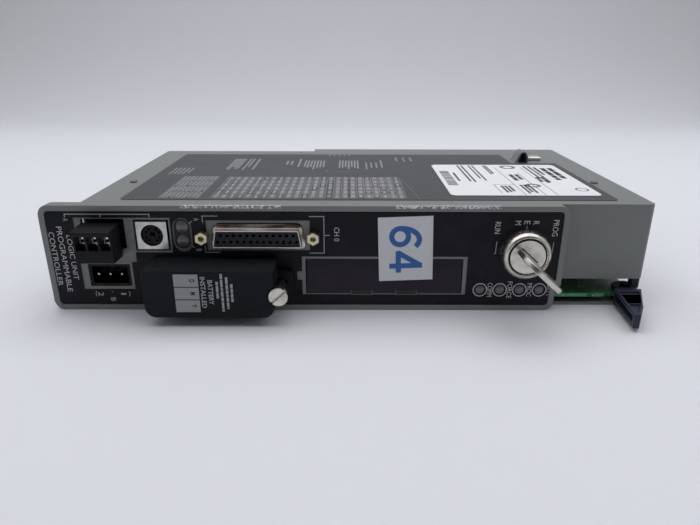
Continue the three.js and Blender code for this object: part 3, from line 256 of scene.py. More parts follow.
def label_white(name, lightness):
    f = Finish(name, tuple(lightness * c for c in (0.82, 0.83, 0.86)), 0.42)
    fibre = f.noise(0.8, 3)
    stain = f.noise(12, 4)
    f.set("Base Color", f.mix(stain.smooth(0.5, 0.8) * 0.3, f.color, f.shade(0.86)))
    f.set("Roughness", 0.36 + 0.12 * fibre)
    f.bump(fibre, 0.01)
    return f.material


def laminate():
    """Solder mask over copper: traces show as lighter, slightly raised bands, with via dots."""
    f = Finish("laminate", (0.022, 0.16, 0.070), 0.32)
    lanes = f.node(
        "ShaderNodeTexBrick",
        {"offset": 0.37, "squash": 0.7, "squash_frequency": 3},
        {"Vector": f.grid(), "Scale": 1.0, "Mortar Size": 0.14, "Brick Width": 5.1, "Row Height": 1.27},
        "Fac",
    )
    patches = f.cells(7.0).smooth(0.30, 0.36)
    traces = lanes * patches
    vias = f.cells(2.6) < 0.16
    f.set("Base Color", f.mix(vias, f.mix(traces, f.color, (0.10, 0.36, 0.19)), (0.62, 0.58, 0.42)))
    f.set("Roughness", 0.30 + 0.12 * f.noise(3, 3))
    f.bump(traces, 0.03)
    return f.material


def moulded(name, color, roughness=0.45, grain=0.35, depth=0.02, gloss=0.3):
    """Moulded plastic: spark-eroded grain, mottled sheen and slightly dusty hollows."""
    f = Finish(name, color, roughness, Specular_IOR_Level=gloss)
    eroded = f.noise(grain, 4, roughness=0.6)
    sheen = f.noise(8, 3)
    dust = f.noise(2.5, 5, roughness=0.7).smooth(0.52, 0.8)
    pale = tuple(0.85 * c + 0.014 for c in color)
    f.set("Base Color", f.mix(dust * 0.5, f.mix(sheen, f.shade(0.85), f.shade(1.15)), pale))
    f.set("Roughness", (roughness - 0.08) + 0.16 * sheen)
    f.bump(eroded, depth)
    return f.material


def plated_finish(name, color, roughness=0.25, lay=(1, 1, 1)):
    """Plated metal: fine drawn lines along one axis, cloudy tarnish and small nicks."""
    f = Finish(name, color, roughness, 1.0)
    lines = f.noise(0.25, 3, stretch=lay)
    tarnish = f.noise(4, 4, roughness=0.6)
    nicks = f.noise(0.9, 4, roughness=0.7).smooth(0.66, 0.72)
    tone = f.mix(tarnish.smooth(0.35, 0.75), color, f.shade(0.72))
    f.set("Base Color", f.mix(nicks * 0.4, tone, f.shade(0.5)))
    f.set("Roughness", (roughness - 0.04) + 0.16 * tarnish + 0.10 * nicks)
    f.bump(lines * 0.6 + nicks * 0.4, 0.008)
    return f


def plated(name, color, roughness=0.25, lay=(1, 1, 1)):
    return plated_finish(name, color, roughness, lay).material


def shell_with_painted_reflection():
    """Tin plate with a painted reflection: a brown band along the shell's upper side, behind its front rim,
    drawn into the colour where the shell mirrors something reddish.
    """
    f = plated_finish("port_shell", (0.62, 0.62, 0.60), 0.28)
    low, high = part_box("serial_shell")
    on_top = f.axis(2) > high[2] - 1.9 * MM
    behind_rim = f.axis(1) > low[1] + 1.1 * MM
    reflection_streaks = f.noise(3, 3, stretch=(0.3, 1, 1)).smooth(0.25, 0.6)
    # painted reflection: the brown band on the shell's upper side stands in for a reddish reflection, broken
    # up by the noise
    f.set("Base Color", f.mix(on_top * behind_rim * reflection_streaks, f.shade(0.95), (0.16, 0.085, 0.06)))
    return f.material


def edge_speck_paint():
    """Painted steel made lighter in small bright specks along the bezel's upper front edge, in two stretches.
    """
    f = painted_finish("edge_speck_paint")
    low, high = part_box("front_bezel")
    along = f.axis(0)
    near_left = (along > low[0] + 60 * MM) * (along < low[0] + 102 * MM)
    near_right = (along > low[0] + 150 * MM) * (along < low[0] + 194 * MM)
    edge = (f.axis(1) < low[1] + 1.6 * MM) * (f.axis(2) > high[2] - 1.1 * MM)
    edge_specks = f.noise(0.9, 4, roughness=0.7).smooth(0.50, 0.56)
    f.set("Base Color", f.mix(edge * edge_specks * (near_left + near_right), f.tone, (0.80, 0.80, 0.80)))
    return f.material


def smoked_plastic():
    f = Finish("smoked_plastic", (0.018, 0.012, 0.024), 0.2, Specular_IOR_Level=0.2)
    haze = f.noise(11, 4, roughness=0.6)
    f.set("Base Color", f.mix(haze, f.shade(0.7), f.shade(1.5)))
    f.set("Roughness", 0.12 + 0.16 * haze)
    f.bump(f.noise(3, 2), 0.01)
    return f.material


def lamp_lens():
    f = Finish("lamp_lens", (0.095, 0.097, 0.100), 0.22, Coat_Weight=0.6, Coat_Roughness=0.1)
    depth = f.noise(1.1, 3)
    f.set("Base Color", f.mix(depth, f.shade(0.7), f.shade(1.5)))
    f.set("Roughness", 0.18 + 0.14 * depth)
    f.bump(f.cells(0.5), 0.02)
    return f.material


def ink(name, color, roughness=0.5):
    """Screen ink: edges a little starved, so its tone breaks up."""
    f = Finish(name, color, roughness)
    starve = f.noise(0.35, 3, roughness=0.6)
    f.set("Base Color", f.mix(starve.smooth(0.35, 0.75), f.shade(1.0), f.shade(0.78)))
    f.set("Roughness", (roughness - 0.06) + 0.14 * starve)
    f.bump(starve, 0.004)
    return f.material


FINISHES = {
    "painted_steel": painted_finish("painted_steel").material,
    "overlay_film": overlay_film(),
    "label_grey": label_grey(),
    "label_white": label_white("label_white", 1.08),
    "label_dull": label_white("label_dull", 0.38),
    "sticker_white": label_white("sticker_white", 0.84),
    "laminate": laminate(),
    "black_plastic": moulded("black_plastic", (0.006, 0.006, 0.008), 0.46, gloss=0.2),
    "port_plastic": moulded("port_plastic", (0.024, 0.024, 0.029), 0.46, gloss=0.2),
    "switch_red": moulded("switch_red", (0.32, 0.03, 0.03), 0.4),
    "steel": plated("tin_plate", (0.62, 0.62, 0.60), 0.28, (1, 0.1, 1)),
    "port_shell": shell_with_painted_reflection(),
    "edge_speck_paint": edge_speck_paint(),
    "nickel": plated("satin_nickel", (0.66, 0.63, 0.58), 0.22, (1, 0.12, 1)),
    "passivated_brass": plated("passivated_brass", (0.66, 0.60, 0.42), 0.26),
    "lens_grey": lamp_lens(),
    "charcoal_plastic": moulded("charcoal_plastic", (0.006, 0.007, 0.010), 0.55, 0.5, 0.03, gloss=0.18),
    "cell_wrap": moulded("cell_wrap", (0.08, 0.20, 0.34), 0.25, 1.2, 0.01),
    "smoked_plastic": smoked_plastic(),
    "blue_nylon": moulded("blue_nylon", (0.034, 0.040, 0.066), 0.42, 0.6, 0.012, gloss=0.2),
}
INKS = {
    "ink_white": ink("ink_white", (0.55, 0.55, 0.57)),
    "ink_line": ink("ink_line", (0.40, 0.40, 0.42)),
    "ink_blue": ink("ink_blue", (0.020, 0.125, 0.42), 0.4),
    "ink_black": ink("ink_black", (0.012, 0.012, 0.015)),
    "ink_pale": ink("ink_pale", (0.34, 0.34, 0.36)),
    "bare_tin": plated("bare_tin", (0.80, 0.80, 0.78), 0.3),
    "ink_dim": ink("ink_dim", (0.15, 0.15, 0.155)),
    "ink_tint": ink("ink_tint", (0.17, 0.172, 0.185)),
}
SLOT_OF = {s["node"]: s["material_slot"] for s in frame["record"]["subparts"]}
BODY_OF = {n: b for b, names in frame["record"]["behaviour"]["bodies"].items() for n in names}


# ---------------------------------------------------------------- mesh helpers
SHARP = math.radians(32)
FLAT = math.radians(0.8)
WELD = 3e-6


def add_piece(name, mesh, finish, body, node=None):
    """Links a finished mesh, gives it its material and makes it ride on a body."""
    made = bpy.data.objects.new(name, mesh)
    bpy.context.scene.collection.objects.link(made)
    mesh.materials.clear()
    mesh.materials.append(finish)
    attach(made, body)
    if node:
        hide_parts(node)
    return made


def smooth_all(mesh):
    mesh.polygons.foreach_set("use_smooth", np.ones(len(mesh.polygons), bool))


def refine(node, edge=0.12, segments=2, wide=(), merge=True, finish=None):
    """A CAD node's shape with its edges rounded. edge is the radius in millimetres that every sharp edge
    gets; wide lists (test, radius) pairs, whose test on an edge's two ends picks edges that are rounder.
    merge joins flat neighbours; a face with openings in it keeps its triangles."""
    mesh = bpy.data.meshes.new(node + "_finished")
    work = bmesh.new()
    work.from_mesh(frame["nodes"][node].data)
    bmesh.ops.remove_doubles(work, verts=work.verts, dist=WELD)
    if merge:
        bmesh.ops.dissolve_limit(work, angle_limit=FLAT, verts=work.verts, edges=work.edges)
    for test, radius in wide:
        chosen = [e for e in work.edges if e.is_manifold and e.calc_face_angle(0) > SHARP]
        ends = [[(np.array(v.co) - CORNER) / MM for v in e.verts] for e in chosen]
        chosen = [e for e, (a, b) in zip(chosen, ends) if test(a, b)]
        bmesh.ops.bevel(
            work,
            geom=chosen,
            offset=radius * MM,
            segments=4,
            profile=0.5,
            affect="EDGES",
            clamp_overlap=True,
        )
    work.to_mesh(mesh)
    work.free()
    smooth_all(mesh)
    look = FINISHES[finish or SLOT_OF[node]]
    made = add_piece(node + "_finished", mesh, look, BODY_OF[node], node)
    if edge:
        bevel = made.modifiers.new("edges", "BEVEL")
        bevel.width = edge * MM
        bevel.segments = segments
        bevel.limit_method = "ANGLE"
        bevel.angle_limit = SHARP
        bevel.use_clamp_overlap = False
        bevel.harden_normals = True
    weight = made.modifiers.new("flat faces", "WEIGHTED_NORMAL")
    weight.keep_sharp = True
    return made


# ---------------------------------------------------------------- printing
CAPITAL_SHARE = 0.69


class Print:
    """Ink on a flat face, gathered as thin closed solids and made one mesh.

    A point (u, v) of the print is start + u * across + v * up, in panel millimetres; the ink stands out
    along the face's normal, which is across x up turned to point outwards."""

    def __init__(self, start, across, up, outward, thickness=0.03, turn=0.0):
        self.start = np.array(start, float)
        self.across = np.array(across, float)
        self.up = np.array(up, float)
        self.out = np.array(outward, float)
        self.thickness = thickness
        if turn:
            c, s = math.cos(turn), math.sin(turn)
            self.across, self.up = c * self.across + s * self.up, c * self.up - s * self.across
        self.points = []
        self.faces = []
        self.count = 0

    def place(self, uvw):
        uvw = np.asarray(uvw, float)
        return self.start + uvw[:, :1] * self.across + uvw[:, 1:2] * self.up + uvw[:, 2:] * self.out

    def add(self, uvw, faces):
        self.points.append(self.place(uvw))
        self.faces += [[i + self.count for i in f] for f in faces]
        self.count += len(uvw)

    def prism(self, outline):
        """A flat convex outline of (u, v) points with the ink's thickness."""
        outline = np.asarray(outline, float)
        n = len(outline)
        low = np.column_stack([outline, np.zeros(n)])
        high = np.column_stack([outline, np.full(n, self.thickness)])
        sides = [[i, (i + 1) % n, n + (i + 1) % n, n + i] for i in range(n)]
        self.add(np.vstack([low, high]), [list(range(n))[::-1], list(range(n, 2 * n)), *sides])

    def block(self, u0, u1, v0, v1):
        self.prism([(u0, v0), (u1, v0), (u1, v1), (u0, v1)])

    def line(self, a, b, width):
        """A straight stroke from a to b."""
        a, b = np.array(a, float), np.array(b, float)
        along = (b - a) / np.linalg.norm(b - a)
        side = np.array([-along[1], along[0]]) * width / 2
        self.prism([a - side, b - side, b + side, a + side])

    def band(self, points, width, closed=False):
        """A stroke along points, as one solid: each point moves out along the mean of the normals of its two
        stretches, by half the width over the cosine of half the bend, to both sides, low and high."""
        points = np.asarray(points, float)
        ahead = np.roll(points, -1, 0) - points
        if not closed:
            ahead[-1] = ahead[-2]
        ahead /= np.linalg.norm(ahead, axis=1)[:, None]
        behind = np.roll(ahead, 1, 0)
        if not closed:
            behind[0] = ahead[0]
        mean = ahead + behind
        mean /= np.linalg.norm(mean, axis=1)[:, None]
        side = np.column_stack([-mean[:, 1], mean[:, 0]]) * width / 2
        side /= np.sum(mean * ahead, axis=1)[:, None]
        n = len(points)
        flat = [(points - side, 0.0), (points + side, 0.0), (points + side, 1.0), (points - side, 1.0)]
        rows = [np.column_stack([p, np.full(n, self.thickness * w)]) for p, w in flat]
        here = np.arange(n if closed else n - 1)
        there = (here + 1) % n
        faces = []
        for k in range(4):
            a, b = k * n, (k + 1) % 4 * n
            faces += np.column_stack([a + here, a + there, b + there, b + here]).tolist()
        if not closed:
            faces += [[0, n, 2 * n, 3 * n], [n - 1, 4 * n - 1, 3 * n - 1, 2 * n - 1]]
        self.add(np.vstack(rows), faces)

    def ring(self, u, v, radius, width):
        """A circle drawn with a stroke of that width: points at (u + r cos t, v + r sin t) for an inner and
        an outer r, low and high, joined round in four walls."""
        sides = 48
        turn = np.linspace(0, 2 * np.pi, sides, endpoint=False)
        loops = []
        outer, top = radius + width, self.thickness
        for r, w in ((radius, 0), (outer, 0), (outer, top), (radius, top)):
            loops.append(np.column_stack([u + r * np.cos(turn), v + r * np.sin(turn), np.full(sides, w)]))
        nxt = np.roll(np.arange(sides), -1)
        faces = []
        for k in range(4):
            a, b = k * sides, (k + 1) % 4 * sides
            faces += np.column_stack([a + np.arange(sides), a + nxt, b + nxt, b + np.arange(sides)]).tolist()
        self.add(np.vstack(loops), faces)

    def text(self, words, u, v, height, length, weight=0.0):
        """Capitals of that height, drawn to that length. (u, v) is where the first letter starts; the line
        runs down v and the letters' tops point along u."""
        curve = bpy.data.curves.new("letters", "FONT")
        curve.body = words
        curve.size = height / CAPITAL_SHARE
        curve.extrude = self.thickness / 2
        curve.offset = weight
        curve.resolution_u = 3
        holder = bpy.data.objects.new("letters", curve)
        bpy.context.scene.collection.objects.link(holder)
        bpy.context.view_layer.update()
        graph = bpy.context.evaluated_depsgraph_get()
        mesh = bpy.data.meshes.new_from_object(holder.evaluated_get(graph))
        co = np.zeros(len(mesh.vertices) * 3)
        mesh.vertices.foreach_get("co", co)
        co = co.reshape(-1, 3)
        along = (co[:, 0] - co[:, 0].min()) * length / np.ptp(co[:, 0])
        uvw = np.column_stack([u + co[:, 1], v - along, co[:, 2] + self.thickness / 2])
        self.add(uvw, [list(p.vertices) for p in mesh.polygons])
        bpy.data.objects.remove(holder)
        bpy.data.meshes.remove(mesh)
        bpy.data.curves.remove(curve)

    def small_print(self, u, v, length, height, seed, gap=0.35):
        """A row of word-sized dashes that stands for small print. It starts at (u, v) and runs down v, up to
        that length, and each dash reaches height along u."""
        rng = np.random.default_rng(seed)
        done = 0.0
        end = length * rng.uniform(0.7, 1.0)
        while done < end:
            word = min(rng.uniform(0.9, 3.6) * height, end - done)
            self.block(u, u + height, v - done - word, v - done)
            done += word + gap * height

    def done(self, name, finish, body, slot):
        mesh = bpy.data.meshes.new(name)
        mesh.from_pydata(to_frame(np.vstack(self.points)), [], self.faces)
        work = bmesh.new()
        work.from_mesh(mesh)
        bmesh.ops.remove_doubles(work, verts=work.verts, dist=1e-8)
        bmesh.ops.recalc_face_normals(work, faces=work.faces)
        work.to_mesh(mesh)
        work.free()
        return add_piece(name, mesh, INKS[finish], body)


# ---------------------------------------------------------------- bezel, overlay, cover, boards
PANEL_LENGTH, _, PANEL_HEIGHT = span("front_bezel")[1]
END_STRIP = 2.4


def is_outer_front(a, b):
    """Edges of the bezel's outline on its front face."""
    near = max(a[1], b[1]) < 0.05
    outside = [
        min(p[0], PANEL_LENGTH - p[0], p[2], PANEL_HEIGHT - p[2]) < 0.05 or p[0] > PANEL_LENGTH - END_STRIP
        for p in (a, b)
    ]
    return near and all(outside)


refine("front_bezel", 0.15, wide=[(is_outer_front, 1.0)], merge=False, finish="edge_speck_paint")
refine("front_overlay", 0.0, merge=False)
cover_low, cover_high = span("cover_shell")
REAR_FOLD = 128.0


def is_cover_top(a, b):
    """Edges where the cover's top folds down into its walls."""
    rim = [p[2] > cover_high[2] - 0.05 for p in (a, b)]
    edge = [
        min(p[0] - cover_low[0], cover_high[0] - p[0]) < 2.1
        or p[1] < cover_low[1] + 0.1
        or p[1] > cover_low[1] + REAR_FOLD
        for p in (a, b)
    ]
    return all(rim) and all(edge)


refine("cover_shell", 0.15, wide=[(is_cover_top, 1.6)], merge=False)
for node in ("base_plate", "main_board", "processor_board"):
    refine(node, 0.1)
for node in ("processor_chip", "memory_chip", "board_connector", "address_switch", "contact_block"):
    refine(node, 0.2)
for i in range(1, 5):
    refine(f"standoff_{i}", 0.12)
    refine(f"case_screw_{i}", 0.15, finish="painted_steel" if i < 3 else None)

# ---------------------------------------------------------------- front panel parts
for node in ("lock_barrel", "lock_nut", "lock_plug"):
    refine(node, 0.12)
refine("key", 0.3, segments=3)
refine("serial_shell", 0.1, finish="port_shell")
for node in ("din_shell", "din_insert", "header_a", "header_b", "battery_tray", "memory_socket"):
    refine(node, 0.1)
refine("serial_insert", 0.06, finish="port_plastic")
for side in ("left", "right"):
    refine(f"jack_screw_{side}", 0.2)
for name in ("comm", "force", "proc", "batt", "channel_a", "channel_b"):
    refine(f"lens_{name}", 0.1)
for i in range(1, 4):
    refine(f"header_b_pin_{i}", 0.12)
    refine(f"wire_clamp_{i}", 0.1)
    refine(f"terminal_screw_{i}", 0.1)
refine("terminal_plug", 0.2)
refine("battery_cover", 0.35, segments=3)
refine("battery_screw", 0.25)
refine("battery_cell", 0.4)
refine("memory_window", 0.25)
refine("ejector_lever", 0.4, segments=3)
refine("ejector_pin", 0.3)
refine("ground_spring", 0.12)

# ---------------------------------------------------------------- labels
for node in ("side_label", "rating_label"):
    refine(node, 0.02, segments=1)
refine("number_sticker", 0.02, segments=1, finish="sticker_white")
refine("date_label", 0.02, segments=1, finish="label_dull")

# ---------------------------------------------------------------- printing on the front panel
overlay_y = span("front_overlay")[0][1]
FRONT = ((1, 0, 0), (0, 0, 1), (0, -1, 0))
TOP = ((1, 0, 0), (0, 1, 0), (0, 0, 1))
panel = Print((0, overlay_y, 0), *FRONT)
LAMP_LABELS = {"comm": ("COMM", 6.7), "force": ("FORCE", 7.9), "proc": ("PROC", 6.3), "batt": ("BATT", 6.3)}
for name, (words, length) in LAMP_LABELS.items():
    lamp = middle(f"lens_{name}")
    panel.ring(lamp[0], lamp[2], 2.75, 0.42)
    panel.text(words, lamp[0] + 3.25, lamp[2] + length / 2, 2.1, length)
# Each row: words, X of the line they stand on, Z where they start, height, length.
PANEL_WORDS = [
    ("RUN", 192.1, 40.9, 2.4, 5.2),
    ("PROG", 216.6, 41.8, 2.4, 7.2),
    ("M", 200.5, 41.4, 2.5, 1.8),
    ("E", 204.3, 41.4, 2.5, 1.5),
    ("R", 208.1, 41.3, 2.5, 1.6),
    ("CONTROLLER", 2.8, 36.0, 2.3, 24.7),
    ("PROGRAMMABLE", 6.5, 38.4, 2.3, 29.9),
    ("LOGIC UNIT", 10.2, 34.6, 2.2, 20.4),
    ("A", 10.1, 42.1, 2.1, 1.2),
    ("B", 25.0, 5.6, 2.2, 1.6),
    ("2", 19.8, 8.2, 2.3, 1.7),
    ("1", 29.8, 7.8, 2.3, 0.8),
    ("A", 65.0, 42.3, 2.2, 1.2),
    ("B", 65.1, 28.6, 2.2, 1.0),
    ("CH 0", 124.1, 38.3, 2.2, 6.1),
]
for words, x, z, height, length in PANEL_WORDS:
    panel.text(words, x, z, height, length)
panel.done("panel_lettering", "ink_white", "case", "overlay_film")

lines = Print((0, overlay_y, 0), *FRONT)
lines.band([(11.0, 42.6), (11.0, 43.9), (46.5, 43.9), (46.5, 42.6)], 0.4)
lines.line((25.9, 43.8), (25.9, 42.6), 0.4)
PANEL_LINES = [
    [(68.7, 40.2), (68.7, 43.2), (75.2, 43.2)],
    [(68.9, 29.9), (68.9, 27.1), (75.2, 27.1)],
    [(113.6, 43.1), (119.8, 43.1), (119.8, 26.8), (113.6, 26.8)],
    [(119.8, 34.8), (122.2, 34.8)],
    [(62.9, 39.8), (64.2, 41.0)],
    [(63.3, 30.0), (64.4, 29.0)],
    [(205.6, 39.2), (205.6, 38.0)],
    [(193.5, 32.1), (193.3, 26.9), (192.7, 26.7)],
    [(217.8, 32.0), (217.6, 26.9), (217.2, 26.5)],
    [(19.2, 8.7), (18.7, 7.5), (18.9, 6.3)],
    [(33.4, 8.7), (33.8, 7.5), (33.4, 6.3)],
    [(26.1, 8.8), (26.1, 8.1)],
]
for points in PANEL_LINES:
    lines.band(points, 0.34)
lines.done("panel_lines", "ink_line", "case", "overlay_film")

# The two channel lamps stand in one black pad with a grey outline.
pad_low, pad_high = span("lens_channel_b")[0], span("lens_channel_a")[1]
pad_x = (pad_low[0] + pad_high[0]) / 2
PAD_REACH = 3.75
PAD_FLOOR = 0.8


def pad_outline(reach):
    """Half circles about the upper and the lower lamp, joined by straight sides."""
    radius = (pad_high[0] - pad_low[0]) / 2
    turn = np.linspace(0, np.pi, 17)
    upper = np.column_stack([reach * np.cos(turn), reach * np.sin(turn) + pad_high[2] - radius])
    lower = np.column_stack([-reach * np.cos(turn), -reach * np.sin(turn) + pad_low[2] + radius])
    return np.vstack([upper, lower]) + (pad_x, 0)


pad = Print((0, PAD_FLOOR, 0), *FRONT, thickness=0.2)
pad.prism(pad_outline(PAD_REACH))
pad.done("channel_pad", "ink_black", "case", "overlay_film")
pad_rim = Print((0, PAD_FLOOR, 0), *FRONT, thickness=0.45)
pad_rim.band(pad_outline(PAD_REACH), 0.5, closed=True)
pad_rim.done("channel_pad_rim", "ink_dim", "case", "overlay_film")

# Two finger slots along the window's lower edge, drawn flat: black blocks are painted shade standing in for
# the slots' dark insides, each with a grey rim.
window_face = span("memory_window")[0][1]
slot_shade = Print((0, window_face, 0), *FRONT, thickness=0.12)
slot_rims = Print((0, window_face, 0), *FRONT, thickness=0.2)
for x0, x1 in ((131.3, 140.5), (151.0, 160.1)):
    z0, z1 = 7.4, 9.5
    # painted shade: a black block where the slot's shaded inside would be
    slot_shade.block(x0, x1, z0, z1)
    slot_rims.band([(x0, z1), (x0, z0), (x1, z0), (x1, z1)], 0.25)
slot_shade.done("window_slot_shade", "ink_black", "case", "overlay_film")
slot_rims.done("window_slot_rims", "ink_dim", "case", "overlay_film")

# ---------------------------------------------------------------- number sticker, date label, battery cover
STICKER_TURN = math.radians(2.2)
DIGIT_HEIGHT = 14.2
DIGIT_STROKE = 2.3
STROKE_STEP = 0.006
sticker_low, sticker_high = span("number_sticker")
sticker_middle = (sticker_low + sticker_high) / 2
sticker = Print((sticker_middle[0], sticker_low[1], sticker_middle[2]), *FRONT, turn=STICKER_TURN)


def upright_digit(points, start):
    """Digit strokes drawn along and above the line of writing, laid on the sticker with their tops to +X."""
    points = np.asarray(points, float)
    return np.column_stack([points[:, 1] - DIGIT_HEIGHT / 2, start - points[:, 0]])


around = np.linspace(0, 2 * np.pi, 40, endpoint=False)
bowl = np.column_stack([4.8 + 3.6 * np.cos(around), 4.75 + 3.55 * np.sin(around)])
sweep = np.linspace(math.radians(182), math.radians(52), 16)
back = np.column_stack([6.3 + 5.1 * np.cos(sweep), 5.2 + 7.75 * np.sin(sweep)])
sticker.band(upright_digit(bowl, 10.5), DIGIT_STROKE, closed=True)
sticker.thickness += STROKE_STEP
sticker.band(upright_digit(back, 10.5), DIGIT_STROKE)
for stroke in ([(7.3, 0), (7.3, 14.2)], [(0.5, 3.9), (10.4, 3.9)], [(1.1, 3.6), (7.2, 13.3)]):
    sticker.thickness += STROKE_STEP
    sticker.line(*upright_digit(stroke, -0.3), DIGIT_STROKE)
sticker.done("sticker_number", "ink_blue", "case", "label_white")

date_low, date_high = span("date_label")
date = Print((date_low[0], date_low[1], date_low[2]), *FRONT)
date_size = date_high - date_low
for i, letter in enumerate("DMY"):
    top = date_size[2] * (1 - i / 3)
    date.text(letter, 6.5, top - date_size[2] / 6 + 0.7, 2.0, 1.35, weight=0.1)
    if i:
        date.line((0, top), (date_size[0], top), 0.4)
date.done("date_print", "ink_black", "battery_cover", "label_white")

battery_face = span("battery_cover")[0][1]
notes = Print((0, battery_face, 0), *FRONT)
notes.text("INSTALLED", 70.1, 22.7, 1.9, 13.8, weight=0.05)
notes.text("BATTERY", 73.1, 21.3, 1.9, 10.9, weight=0.05)
notes.small_print(76.3, 20.6, 10.4, 0.95, 3)
notes.small_print(78.2, 24.0, 17.0, 0.95, 4)
notes.small_print(80.3, 22.6, 15.0, 0.95, 5)
notes.small_print(82.2, 19.6, 9.2, 0.95, 6)
notes.done("battery_lettering", "ink_line", "battery_cover", "charcoal_plastic")

# ---------------------------------------------------------------- wire clamp tips
for i in range(1, 4):
    clamp_low, clamp_high = span(f"wire_clamp_{i}")
    x = (clamp_low[0] + clamp_high[0]) / 2
    tip = Print((x, clamp_low[1], clamp_high[2]), *FRONT, thickness=0.8)
    tip.block(-0.45, 0.45, -1.5, -0.2)
    tip.done(f"clamp_tip_{i}", "bare_tin", f"clamp_{i}", "steel")

# ---------------------------------------------------------------- top labels
side_face = span("side_label")[1][2]
LINE = 0.2


def rows_between(x0, x1, count):
    """Places of count rows between x0 and x1, as (start, pitch) pairs along X."""
    pitch = (x1 - x0) / count
    return [(x0 + pitch * i, pitch) for i in range(count)]


side = Print((0, 0, side_face), *TOP)
tint = Print((0, 0, side_face), *TOP, thickness=0.015)
mixer = np.random.default_rng(3)
# Each row: first and last X, first and last Y, rows, columns.
TABLES = [(46.4, 64.0, 14.2, 58.6, 9, 4), (69.2, 155.6, 14.2, 57.2, 24, 6)]
for x0, x1, y0, y1, count, columns in TABLES:
    side.line((x1, y0), (x1, y1), LINE)
    side.line((x0, y1), (x1, y1), LINE)
    for x, pitch in rows_between(x0, x1, count):
        side.line((x, y0), (x, y1), LINE)
        depth = (y1 - y0) / columns
        for j in range(columns):
            if mixer.random() < 0.72:
                tint.block(x + 0.5, x + pitch - 0.5, y0 + depth * j, y0 + depth * (j + 1) - 0.5)
            start = y0 + depth * (j + 1) - 0.8
            side.small_print(x + pitch * 0.3, start, depth - 1.0, pitch * 0.4, int(10 * x) + j, gap=0.6)
for x, pitch in rows_between(124.0, 152.0, 8):
    for j in range(4):
        y = 15.5 + 10.4 * j
        end = x + pitch - 0.6
        side.band([(x + 0.4, y), (end, y), (end, y + 7), (x + 0.4, y + 7)], LINE, closed=True)
side.line((161.6, 13.4), (156.4, 54.0), 0.12)
# Each row: X and Y of the first word, length, rows, pitch, height.
SIDE_NOTES = [
    (63.5, 107, 32, 6, 1.15, 0.7),
    (72.3, 107, 32, 2, 1.9, 0.9),
    (77.4, 107, 32, 1, 1.9, 1.0),
    (94.5, 100, 12, 2, 2.6, 1.2),
    (101.5, 107, 26, 1, 2.6, 1.1),
    (105.0, 102, 25, 7, 1.75, 0.9),
    (124.5, 102, 25, 7, 1.7, 0.9),
    (139.5, 96, 20, 3, 2.8, 0.8),
    (148.0, 103, 24, 1, 2.8, 1.0),
    (157.5, 112, 13, 3, 4.2, 0.9),
    (118.0, 121, 4, 5, 3.0, 0.8),
    (36.0, 80, 18, 5, 2.3, 0.8),
]
for seed, (x, y, length, count, pitch, height) in enumerate(SIDE_NOTES):
    for row in range(count):
        side.small_print(x + pitch * row, y, length, height, 100 + 10 * seed + row)
side.line((118.4, 74.0), (118.4, 70.5), LINE)
side.line((118.4, 70.5), (136.0, 70.5), LINE)
side.done("side_label_print", "ink_pale", "case", "label_grey")
tint.done("side_label_tint", "ink_tint", "case", "label_grey")

rating_face = span("rating_label")[1][2]
rating = Print((0, 0, rating_face), *TOP)
for x, y0, y1 in ((210.1, 19.6, 82.4), (224.4, 19.6, 82.4), (219.0, 19.6, 67.9), (200.1, 24.1, 40.4)):
    rating.line((x, y0), (x, y1), 0.25)
rating.line((200.1, 40.4), (210.0, 40.4), 0.25)
# Each row: X and Y of the first word, length, rows, height.
RATING_NOTES = [
    (190.0, 87.0, 44, 1, 1.0),
    (192.2, 87.0, 48, 1, 1.0),
    (196.2, 87.0, 35, 1, 0.9),
    (198.2, 87.0, 38, 1, 0.9),
    (204.2, 87.0, 24, 2, 0.9),
    (202.6, 38.0, 14, 3, 1.2),
    (213.0, 63.5, 15, 2, 2.0),
    (212.2, 40.0, 18, 3, 1.2),
    (226.3, 85.0, 40, 1, 1.2),
    (228.8, 85.0, 44, 1, 1.2),
    (224.9, 57.0, 14, 2, 1.6),
    (234.2, 80.0, 35, 2, 2.6),
    (231.0, 82.0, 20, 1, 1.6),
]
for seed, (x, y, length, count, height) in enumerate(RATING_NOTES):
    for row in range(count):
        rating.small_print(x + 1.5 * height * row, y, length, height, 300 + 10 * seed + row)
SEALS = [(217.4, 82.4, 3.6), (217.4, 82.4, 2.6), (218.5, 38.5, 3.0), (218.5, 38.5, 2.0), (239.0, 30.5, 2.4)]
for x, y, radius in SEALS:
    rating.ring(x, y, radius, 0.7)
bars = np.random.default_rng(12)
bar_at = 72.0
while bar_at > 38.6:
    bar_width = bars.uniform(0.25, 0.9)
    rating.block(178.2, 183.0, bar_at - bar_width, bar_at)
    bar_at -= bar_width + bars.uniform(0.3, 0.8)
rating.small_print(184.6, 68.0, 26, 1.2, 400)
rating.done("rating_print", "ink_black", "case", "label_white")

# ---------------------------------------------------------------- floor, backdrop and light
FLOOR_FRONT = -900.0
FLOOR_BACK = 620.0
SWEEP = 320.0
WALL_TOP = 1700.0
FLOOR_HALF = 1500.0


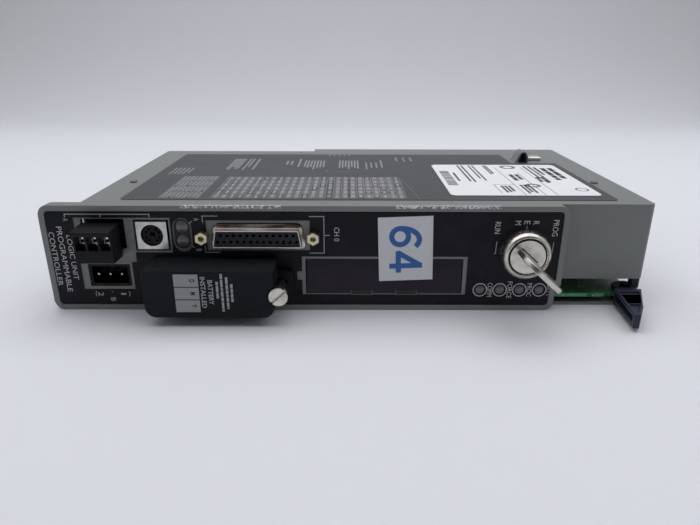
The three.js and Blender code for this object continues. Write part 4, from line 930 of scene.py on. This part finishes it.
def add_floor():
    """A studio sweep: a flat floor, a quarter circle and an upright backdrop, as one profile along X."""
    turn = np.linspace(0, np.pi / 2, 24)
    profile = np.vstack(
        [
            [[FLOOR_FRONT, 0], [FLOOR_BACK, 0]],
            np.column_stack([FLOOR_BACK + SWEEP * np.sin(turn), SWEEP * (1 - np.cos(turn))])[1:],
            [[FLOOR_BACK + SWEEP, WALL_TOP]],
        ]
    )
    n = len(profile)
    grid = np.stack([np.column_stack([np.full(n, x), profile]) for x in (-FLOOR_HALF, FLOOR_HALF + 262)])
    mesh = bpy.data.meshes.new("studio_floor")
    index = np.arange(2 * n).reshape(2, n)
    quads = np.stack([index[0, :-1], index[1, :-1], index[1, 1:], index[0, 1:]], -1)
    mesh.from_pydata(to_frame(grid.reshape(-1, 3)), [], quads.tolist())
    smooth_all(mesh)
    floor = bpy.data.objects.new("studio_floor", mesh)
    bpy.context.scene.collection.objects.link(floor)
    paper = Finish("studio_paper", (0.80, 0.81, 0.86), 0.7)
    # painted shade: the paper darkens towards the back of the floor and up the backdrop, where the light falls
    # off
    paper.set("Base Color", paper.mix(paper.axis(1).smooth(0.40, 1.0), paper.color, paper.shade(0.62)))
    mesh.materials.append(paper.material)


def add_card(name, x):
    """A white side wall of the studio: a flat card that stands across X."""
    corners = [(x, -900, 0), (x, 600, 0), (x, 600, 700), (x, -900, 700)]
    mesh = bpy.data.meshes.new(name)
    mesh.from_pydata(to_frame(corners), [], [(0, 1, 2, 3)])
    card = bpy.data.objects.new(name, mesh)
    bpy.context.scene.collection.objects.link(card)
    mesh.materials.append(Finish(name, (0.85, 0.86, 0.88), 0.8).material)


def add_light(name, place, target, size, power):
    """A soft box at place that faces target, both in panel millimetres."""
    data = bpy.data.lights.new(name, "AREA")
    data.shape = "RECTANGLE"
    data.size = size[0] * MM
    data.size_y = size[1] * MM
    data.energy = power
    lamp = bpy.data.objects.new(name, data)
    here, there = Vector(to_frame(place)), Vector(to_frame(target))
    lamp.matrix_world = Matrix.Translation(here) @ (there - here).to_track_quat("-Z", "Y").to_matrix().to_4x4()
    bpy.context.scene.collection.objects.link(lamp)


add_floor()
add_light("top_box", (130, 210, 900), (130, 190, 0), (2100, 1100), 12.6)
for name, x in (("left_card", -520), ("right_card", 800)):
    add_card(name, x)
world = bpy.data.worlds.new("studio")
bpy.context.scene.world = world
world.use_nodes = True
world.node_tree.nodes["Background"].inputs["Color"].default_value = (0.90, 0.92, 1.0, 1)
world.node_tree.nodes["Background"].inputs["Strength"].default_value = 0.08
bpy.context.scene.view_settings.view_transform = "Standard"
